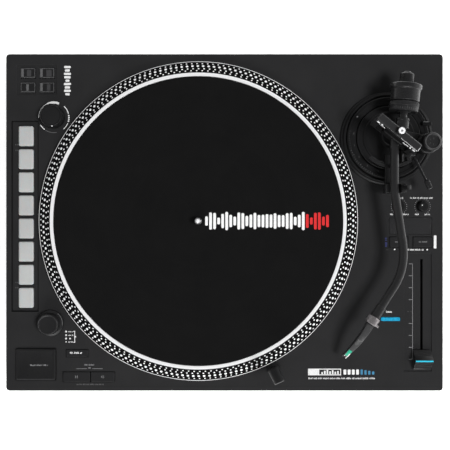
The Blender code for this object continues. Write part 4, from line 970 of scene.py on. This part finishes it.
def build_arm_base():
    base = up((28.2, 3), (43.2, 3), (43.2, 6), (44.6, 6.6), (45.6, 6), (46.2, 3.4), (48.3, 2.2),
              (48.3, 0.3), (31, 0.3), (31, -16), (28.2, -16))
    lathe("arm_base_ring", base, standing(PIVOT), 192, SHADED_ARM_RINGS, "chassis", stands_for="arm_base")
    node = "arm_height_ring"
    ring = up((33.4, 3.4), (42.6, 3.4), (42.6, 8), (41.4, 9.6), (38.6, 9.6), (38, 9.1), (34.4, 9.1),
              (33.4, 8.6))
    lathe("height_ring", ring, standing(PIVOT), 240, SHADED_ARM_RINGS, node, (80, 0.35, deck(4), deck(8.2)), 0.35,
          node)
    marks = []
    for index in range(31):
        turn = 170 + index * 3.6
        start = around(PIVOT, turn, 39.7 if index % 5 else 39)
        marks.append(stroke(start, around(PIVOT, turn, 41.2), 0.42))
    # The same marks in two inks: from about 199 to 246 degrees the lighter ink is a painted highlight where
    # light catches the ring; elsewhere they are dimmer.
    printed("height_scale", marks[:8] + marks[22:], 9.6, FAINT_PRINT_AND_HIGHLIGHT, node)
    printed("height_scale_lit_highlight", marks[8:22], 9.6, DIM_PRINT_AND_HIGHLIGHT, node)
    for index in range(6):
        x, y = around(PIVOT, 173 + index * 20, 36.2)
        number(f"height_number_{index}", str(index), x, y, 2.4, 9.1, node)
    printed("height_pointer", [disc(*around(PIVOT, 146, 38.9), 0.85)], 9.6, PALE_INK, node)


def build_pillar():
    body = "arm_pillar"
    profile = up((0, 24.6), (9.2, 24.6), (10, 23.8), (10.6, 13), (24.6, 13), (26, 12.7), (26.6, 12.2),
                 (26.6, 11), (32.2, 11), (32.8, 10.4), (32.8, 3.5), (27.8, 3.5), (27.8, -15), (0, -15))
    lathe("pillar_body", profile, standing(PIVOT), 160, SHADED_ARM_RINGS, body, soft=0.45, stands_for=body)

    block("lift_housing", (180, 60.8, deck(11.8)), (189.6, 73.6, deck(22.6)), 0.7, ARM, body)
    # Painted highlight: light lines along the front and left top edges of the lift housing.
    edges = [rectangle(180.9, 61.5, 188.8, 62.1), rectangle(180.9, 62.1, 181.5, 69.5)]
    printed("lift_housing_edge_highlight", edges, 22.6, DIM_PRINT_AND_HIGHLIGHT, body)
    collar = up((1.9, 23.1), (3, 23.1), (3, 22.2), (1.9, 22.2))
    lathe("lift_collar", collar, standing((185.6, 64.4)), 32, ARM, body, soft=0.15)

    boss = up((3.4, 23.6), (9.4, 23.6), (10.4, 22.6), (10.4, 12.2), (3.4, 12.2))
    lathe("anti_skate_boss", boss, standing(ANTI_SKATE), 96, ARM, body, soft=0.4)
    near = Vector(around(PIVOT, -10.8, 9))
    along = Vector(ANTI_SKATE) - near
    place = turned((near + Vector(ANTI_SKATE)) / 2, deck(15.6), math.degrees(math.atan2(along.y, along.x)))
    half = along.length / 2
    block("anti_skate_arm", (-half, -8.5, -3.8), (half, 8.5, 3.8), 0.8, ARM, body, 3, place)
    block("height_lock_lever", (203.6, 99.6, deck(10.6)), (213.4, 103.4, deck(13.8)), 0.7, KNOB, body)
    block("height_lock_tip", (204.2, 103, deck(13.2)), (209.6, 103.7, deck(13.95)), 0.25, STEEL, body, 2)

    block("rest_beam", (164.5, 30, deck(12)), (174.5, 69.5, deck(17)), 0.8, ARM, body)
    outline = ((-6.6, -23), (9.7, -23), (10.8, -20), (10.8, 5.6), (6, 5.6), (5.2, -1), (5.2, -4.6),
               (-7.8, -4.6), (-7.8, -8))
    upright = Matrix(((1, 0, 0, 0), (0, 0, -1, 0), (0, 1, 0, 0), (0, 0, 0, 1)))
    place = standing((PIVOT[0], 34), ARM_Z) @ upright
    cradle = prism("rest_cradle", outline, place, 9, 0.5, 3, ARM, body)
    tool = bmesh.new()
    block_into(tool, (173.3, 31.6, ARM_Z + 0.2), (184, 36.4, ARM_Z + 12), 0.1, 1)
    cut_away(cradle, "clip_slot", tool, body)


def build_anti_skate():
    node = "anti_skate_knob"
    skate = up((0, 38.2), (5.9, 38.2), (6.4, 38.5), (6.7, 39.6), (7.9, 39.6), (9.2, 38.4), (9.2, 24.1),
               (3, 24.1), (3, 15.6), (0, 15.6))
    lathe("anti_skate_dial", skate, standing(ANTI_SKATE), 144, ARM, node, (48, 0.4, deck(25), deck(37.6)),
          0.3, node)
    printed("anti_skate_trim", arc(*ANTI_SKATE, 7.3, 0.45, 0, 360), 39.6, DIM_PRINT_AND_HIGHLIGHT, node)
    turns = [60 + index * 18 for index in range(15)]
    marks = [stroke(around(ANTI_SKATE, turn, 4.3), around(ANTI_SKATE, turn, 5.4), 0.3) for turn in turns]
    printed("anti_skate_scale", marks, 38.2, FAINT_PRINT_AND_HIGHLIGHT, node)
    for index in range(4):
        x, y = around(ANTI_SKATE, 70 + index * 72, 3)
        number(f"anti_skate_number_{index}", str(index), x, y, 2.2, 38.2, node)


def build_cue():
    hinge = deck(17.5)
    tip = (206, 38.5, deck(25.5))
    bars = (((190.1, 70, hinge), (194.4, 70, hinge), 3.2, 40),
            ((186.9, 70, hinge), (192.2, 70, hinge), 1.5), ((192.8, 68.8, hinge), tip, 1.4, 24, 1.1))
    rods("cue_lever_rod", bars, DARK_STEEL, "cue_lever", "cue_lever")
    place = turned(tip, tip[2], 23)
    block("cue_lever_paddle", (-2.6, -5, -1.7), (2.6, 4.6, 1.7), 1.1, CAP, "cue_lever", 4, place)
    # Painted highlight: bright strips along the paddle's right side and front end.
    edges = (((2.05, -4, 0.2), (2.5, 3.4, 1.1), 0.15, 2), ((-1.2, -4.95, 0.2), (2, -4.5, 1.1), 0.15, 2))
    blocks("cue_paddle_edge_highlight", edges, BRIGHT, "cue_lever", place)


def build_yoke():
    body = "gimbal"
    place = turned(PIVOT, 0, TILT_ANGLE)
    # Painted highlights: bright and dimmer strips along the yoke's front top edge and its end stand for
    # light caught on the chamfer.
    block("yoke_near_edge_highlight", (4, -5.02, deck(60.45)), (24.4, -4.68, deck(60.8)), 0.12, BRIGHT, body, 2, place)
    block("yoke_far_edge_highlight", (-16, -5.02, deck(60.45)), (3.4, -4.8, deck(60.75)), 0.1, STEEL, body, 2, place)
    block("yoke_end_highlight", (24.65, -4.6, deck(60.35)), (25.05, -0.6, deck(60.8)), 0.12, BRIGHT, body, 2, place)
    screws = []
    for side in (-1, 1):
        spots = [place @ (Vector((side * x, y, deck(57.2))) * MM) / MM
                 for x, y in ((20.2, -5.5), (23.4, -5.5), (17.6, -4.6), (17.6, -6.3))]
        screws += [(spots[0], spots[1], 0.8, 16), (spots[2], spots[3], 1.25, 24, 1)]
    rods("yoke_screws", screws, BRIGHT, body)
    tool = bmesh.new()
    rod_into(tool, (*PIVOT, deck(66)), (*PIVOT, deck(70)), 6)
    cut_away(NODES["gimbal_yoke"], "post_recess", tool, body)
    cap = up((0, 66.6), (1.2, 66.6), (1.5, 66.9), (2.8, 66.9), (3.2, 66.6), (3.2, 65.8), (0, 65.8))
    lathe("pivot_cap", cap, standing(PIVOT), 64, BRIGHT, body, soft=0.15)
    printed("pivot_slot", [disc(*PIVOT, 1.1, 20)], 66.6, PALE_INK, body)


def tube_line():
    """The tube's centre line from the pivot, as points and headings: straights and bends by length."""
    point = Vector((*PIVOT, ARM_Z))
    line = [(point.copy(), -90)]
    bends = ((50.4, -90, -90), (9.8, -90, -81.2), (46.2, -81.2, -81.2), (13.7, -81.2, -90),
             (34.3, -90, HEAD_ANGLE), (37.3, HEAD_ANGLE, HEAD_ANGLE))
    for length, first, last in bends:
        steps = 4 if first == last else 24
        for step in range(steps):
            point = point + heading(first + (last - first) * (step + 0.5) / steps) * (length / steps)
            line.append((point.copy(), first + (last - first) * (step + 1) / steps))
    return line


def build_tube():
    mesh = bmesh.new()
    rings = []
    for point, angle in tube_line():
        across = heading(angle + 90)
        ring = []
        for step in range(40):
            x, z = around((0, 0), 9 * step, TUBE_RADIUS)
            ring.append(mesh.verts.new((point + across * x + Vector((0, 0, z))) * MM))
        rings.append(ring)
    bridge(mesh, rings)
    mesh.faces.new(rings[0])
    mesh.faces.new(rings[-1])
    finish_piece("arm_tube", mesh, ARM, "tonearm", SOFT_ANGLE, "tonearm_tube")
    place = turned(PIVOT, ARM_Z, TILT_ANGLE)
    block("pivot_block", (-11, -5.5, -6.6), (11, 5.5, 6.6), 1, ARM, "tonearm", 3, place)
    ends = [place @ Vector((reach * MM, 0, 0)) / MM for reach in (-22, 22)]
    rods("tilt_pins", [(*ends, 2, 28)], STEEL, "tonearm")
    sleeve = [(0, 2), (4.6, 2), (4.6, 5.2), (5.9, 5.4), (6.6, 6.1), (6.6, 12.6), (6.1, 13), (6.1, 13.8),
              (6.6, 14.2), (6.6, 15.9), (6, 16.5), (4, 16.5), (4, 62.2), (3.2, 63), (0, 63)]
    lathe("rear_shaft", sleeve, lying(REAR, heading(REAR_ANGLE)), 72, ARM, "tonearm", soft=0.25)
    ahead = heading(HEAD_ANGLE)
    socket = [(4, 0), (4.7, 0), (5, 0.8), (5, 11.6), (4.7, 12), (4, 12)]
    lathe("tube_socket", socket, lying(Vector(COLLAR) - ahead * 16.4, ahead), 72, ARM, "tonearm", soft=0.2)


def build_balance():
    place = lying(REAR, heading(REAR_ANGLE))
    profile = [(4.35, 21.6), (7, 21.6)]
    at = 22.4
    while at < 59.6:
        profile += [(7, at), (6.72, at + 0.35)]
        at += 0.7
    profile += [(7, 60.2), (6.2, 61), (4.35, 61)]
    lathe("threaded_bush", profile, place, 64, ARM, "weight_bush", soft=0, stands_for="weight_bush")
    profile = [(7.35, 32.5), (13.4, 32.5), (14.5, 33.4), (14.5, 44.2), (15.8, 45.4), (15.8, 49.2), (15, 50),
               (9.6, 50), (9.2, 49.2), (7.35, 49.2)]
    lathe("balance_weight", profile, place, 144, WEIGHT, "counterweight", soft=0.6,
          stands_for="counterweight")
    profile = [(7.35, 22.4), (13.2, 22.4), (14.2, 23.2), (14.2, 27.4), (14.6, 27.8), (14.6, 31.4),
               (13.8, 32.1), (7.35, 32.1)]
    lathe("force_dial", profile, place, 192, PLASTIC, "balance_dial", (64, 0.35, 27.9, 31.3), 0.3,
          "balance_dial")
    mesh = bmesh.new()
    for index in range(40):
        turn = place @ Matrix.Rotation(2 * math.pi * index / 40, 4, "Z")
        mark = rectangle(-0.17, 23.8, 0.17, 25.6 if index % 5 else 26.9)
        mesh.faces.new([mesh.verts.new(turn @ (Vector((14.24, side, height)) * MM))
                        for side, height in mark])
    finish_piece("force_marks", mesh, DIM_PRINT_AND_HIGHLIGHT, "balance_dial")


def build_head():
    axis = heading(HEAD_ANGLE)
    centre = Vector(COLLAR)
    profile = [(4.6, -4.1), (5.5, -4.1), (6.25, -3.5), (6.25, 3.5), (5.5, 4.1), (4.6, 4.1)]
    lathe("lock_collar", profile, lying(COLLAR, axis), 144, COLLAR_METAL, "head_collar",
          (48, 0.16, -2.6, 2.6), 0.25, "head_collar")
    across = heading(HEAD_ANGLE + 90)
    start = centre + axis * 2.6 + across * 3.4
    rods("collar_pin", [(start, start + across * 5.2, 1.1, 20)], COLLAR_METAL, "head_collar")

    rows = ((axis.x, 0, -across.x, 0), (axis.y, 0, -across.y, 0), (0, 1, 0, 0), (0, 0, 0, 1))
    upright = Matrix.Translation(centre * MM) @ Matrix(rows)
    top = ((4.8, 4.1), (9, 4.3), (12.6, 4.2), (18, 3.1), (24, 1.3), (30, -2.5), (35.4, -6.9), (40, -11.2),
           (44, -14.8))
    low = ((40, -17.4), (36.4, -14.5), (31.6, -11.4), (26, -8.4), (20, -6.1), (14.4, -4.6), (9, -4.2),
           (4.8, -4.1))
    tapered("cartridge_shell", top + low, upright, 7.8, 1, SHELL, 40, "cartridge")
    rods("cartridge_plug", [(centre - axis * 1.6, centre + axis * 6.5, 4, 40)], PLASTIC, "tonearm")
    holder = ((37.6, -8.5), (41.6, -12.3), (45, -15.6), (44.6, -19.4), (40.4, -16.9), (36.6, -13.4))
    tapered("stylus_holder", holder, upright, 6, 0.7, GREEN_TIP)
    guard = ((41, -11.6), (45.2, -15.4), (47.8, -18.6), (47.2, -20.5), (44, -19.8), (42.4, -17.4))
    for index, (shift, material) in enumerate(((-1.9, IVORY), (1.9, SHELL))):
        lane = upright @ Matrix.Translation((0, 0, shift * MM))
        prism(f"stylus_guard_{index + 1}", guard, lane, 1.2, 0.35, 3, material, "tonearm")
    down = Vector((0, 0, -1))
    needle = centre + axis * 45.6 + down * 19
    point = (needle, needle + axis * 0.6 + down * 3.5, 0.6, 16, 0.2)
    cantilever = (centre + axis * 38.4 + down * 15.4, needle + down * 0.4, 0.45, 12)
    rods("stylus_needle", [point, cantilever], STEEL, "tonearm")
    seam = ((11.6, 2.6), (19.2, 1), (28.8, -4.2), (36.4, -10.4), (36.4, -11), (28.8, -4.9), (19.2, 0.3),
            (11.6, 1.9))
    tapered("cartridge_seam", seam, upright, 7.95, 0, PLASTIC)


# Lamp, feet and back ----------------------------------------------------------------------------


def build_lamp():
    body = "stylus_lamp"
    profile = up((0, 44), (3, 44), (3.4, 40), (3.4, 8), (5.6, 6.8), (6.4, 6), (6.4, 0.5), (5, 0.5), (5, -8),
                 (0, -8))
    lathe("lamp_post", profile, standing(LAMP), 64, KNOB, body, soft=0.4, stands_for=body)
    start = Vector((*around(LAMP, -65, 5.5), deck(47.5)))
    axis = Vector((*around(LAMP, 115, 9), deck(43.5))) - start
    long = axis.length
    head = [(0, 0), (4.6, 0), (5.2, 0.6), (5.95, long - 0.6), (5.6, long), (4.6, long), (4.4, long - 1),
            (0, long - 1)]
    lathe("lamp_head", head, lying(start, axis), 64, KNOB, body, soft=0.3)
    lens = [(0, long - 0.45), (3, long - 0.55), (4.3, long - 0.95), (0, long - 1)]
    lathe("lamp_lens", lens, lying(start, axis), 48, WHITE_PLASTIC, body, soft=0.1)


def build_feet():
    profile = [(0, 37), (5, 37), (5, 25.6), (20, 25.6), (22.5, 23.1), (22.5, 8), (25, 5.5), (25, 1),
               (24, 0), (20, 0), (19.4, 0.5), (0, 0.5)]
    for node, x, y in (("foot_front_left", -1, -1), ("foot_front_right", 1, -1), ("foot_rear_left", -1, 1),
                       ("foot_rear_right", 1, 1)):
        place = standing((x * FOOT_SPOT[0], y * FOOT_SPOT[1]))
        lathe(f"{node}_boot", profile, place, 160, FOOT, node, (40, 0.9, 9, 22.8), 0.6, node)
        mesh = bmesh.new()
        for reach in (6, 11, 16):
            lathe_into(mesh, rectangle(reach - 0.7, 0.05, reach + 0.7, 0.8), place, 64)
        finish_piece(f"{node}_tread", mesh, FOOT, node)


def build_back():
    """Socket details in the connector bay, and screws in the base."""
    pins = ((55, 47.6), (50, 42.6), (60, 42.6))
    blades = [((x - 1.1, 152, z - 2.1), (x + 1.1, 158.6, z + 2.1), 0.3, 2) for x, z in pins]
    blocks("inlet_blades", blades, STEEL, "chassis")
    block("usb_tongue", (2.2, 155.6, 44), (9.8, 161, 46.4), 0.3, WHITE_PLASTIC, "chassis", 2)
    ring = [(1.7, 5.6), (2.8, 5.6), (3, 5.3), (3, 1), (1.7, 1)]
    back = box_of("rca_sockets")[1].y - 6.4
    for index, (x, material) in enumerate(((-36, RED_PLASTIC), (-50, WHITE_PLASTIC))):
        place = lying((x, back, BAY_Z), (0, 1, 0))
        lathe(f"rca_core_{index + 1}", ring, place, 40, material, "chassis", soft=0.15)
    spots = [(x, y) for x in (-215, -100, 0, 100, 215) for y in (-162, 150)]
    spots += [(-150, -60), (150, -60), (-150, 70), (150, 70)]
    head = rounded([(0, 0.7), (1.3, 0.7), (1.6, 1.5), (2.6, 1.5), (3.6, 0.7), (3.8, -0.3), (0, -0.3)], 0.3)
    mesh = bmesh.new()
    for spot in spots:
        lathe_into(mesh, head, standing(spot, 26) @ Matrix.Rotation(math.pi, 4, "X"), 28)
    finish_piece("base_screws", mesh, DARK_STEEL, "chassis")


# Stage ------------------------------------------------------------------------------------------


def build_floor():
    made = Surface("studio_floor", None, Specular_IOR_Level=0.1, Emission_Color=(1, 1, 1, 1),
                   Emission_Strength=0.74)
    cloud = made.noise(1.4, 3, 0.5)
    made.put(made.ramp(cloud, [(0.2, grey(0.9)), (0.8, grey(0.94))]), "Base Color")
    made.put(made.remap(cloud, 0.3, 0.7, 0.85, 0.95), "Roughness")
    mesh = bmesh.new()
    bmesh.ops.create_grid(mesh, x_segments=2, y_segments=2, size=30)
    as_object("floor", mesh, made.material)


def area_light(name, spot, target, size, power, glossy=True):
    data = bpy.data.lights.new(name, "AREA")
    data.shape = "RECTANGLE"
    data.size, data.size_y = size
    data.energy = power
    light = bpy.data.objects.new(name, data)
    light.location = spot
    light.visible_glossy = glossy
    light.rotation_euler = (Vector(target) - Vector(spot)).to_track_quat("-Z", "Y").to_euler()
    bpy.context.scene.collection.objects.link(light)


def build_world():
    """White light that grows towards the horizon and towards the right."""
    world = bpy.data.worlds.new("studio")
    bpy.context.scene.world = world
    world.use_nodes = True
    nodes = world.node_tree.nodes
    link = world.node_tree.links.new
    parts = nodes.new("ShaderNodeSeparateXYZ")
    link(nodes.new("ShaderNodeTexCoord").outputs["Generated"], parts.inputs["Vector"])
    total = nodes.new("ShaderNodeMath")
    fades = (("Z", (0.25, 0.9, 0.36, 0.08)), ("X", (0.6, 0.95, 0, 0.75)))
    for (axis, range_values), socket in zip(fades, total.inputs):
        fade = nodes.new("ShaderNodeMapRange")
        for key, value in zip(("From Min", "From Max", "To Min", "To Max"), range_values):
            fade.inputs[key].default_value = value
        link(parts.outputs[axis], fade.inputs["Value"])
        link(fade.outputs["Result"], socket)
    link(total.outputs["Value"], nodes["Background"].inputs["Strength"])
    nodes["Background"].inputs["Color"].default_value = (1, 1, 1, 1)


def light_and_camera():
    middle = (0, 0, 0.08)
    area_light("key_right", (1.1, -0.3, 2.5), (0.15, 0, 0.08), (0.65, 0.65), 68, False)
    area_light("fill_left", (-1.25, -0.1, 1.2), middle, (0.9, 0.9), 0.8, False)
    area_light("rear_panel", (-0.1, 1.5, 0.9), middle, (1.4, 0.5), 1)
    area_light("front_panel", (0, -1.4, 1), middle, (1.4, 0.5), 12)
    data = bpy.data.cameras.new("camera")
    data.lens = 57.3
    data.sensor_width = 36
    data.clip_start = 0.01
    camera = bpy.data.objects.new("camera", data)
    camera.location = (0.0005, -0.0027, 0.8385)
    bpy.context.scene.collection.objects.link(camera)
    bpy.context.scene.camera = camera
    bpy.context.scene.view_settings.view_transform = "Standard"


def main():
    dress_kept()
    build_platter()
    build_slipmat()
    build_spindle()
    build_pads()
    build_start_button()
    build_knobs()
    print_left()
    print_seams()
    print_mode_buttons()
    print_right()
    build_fader()
    build_arm_base()
    build_pillar()
    build_anti_skate()
    build_cue()
    build_yoke()
    build_tube()
    build_balance()
    build_head()
    build_lamp()
    build_feet()
    build_back()
    build_floor()
    build_world()
    light_and_camera()


main()
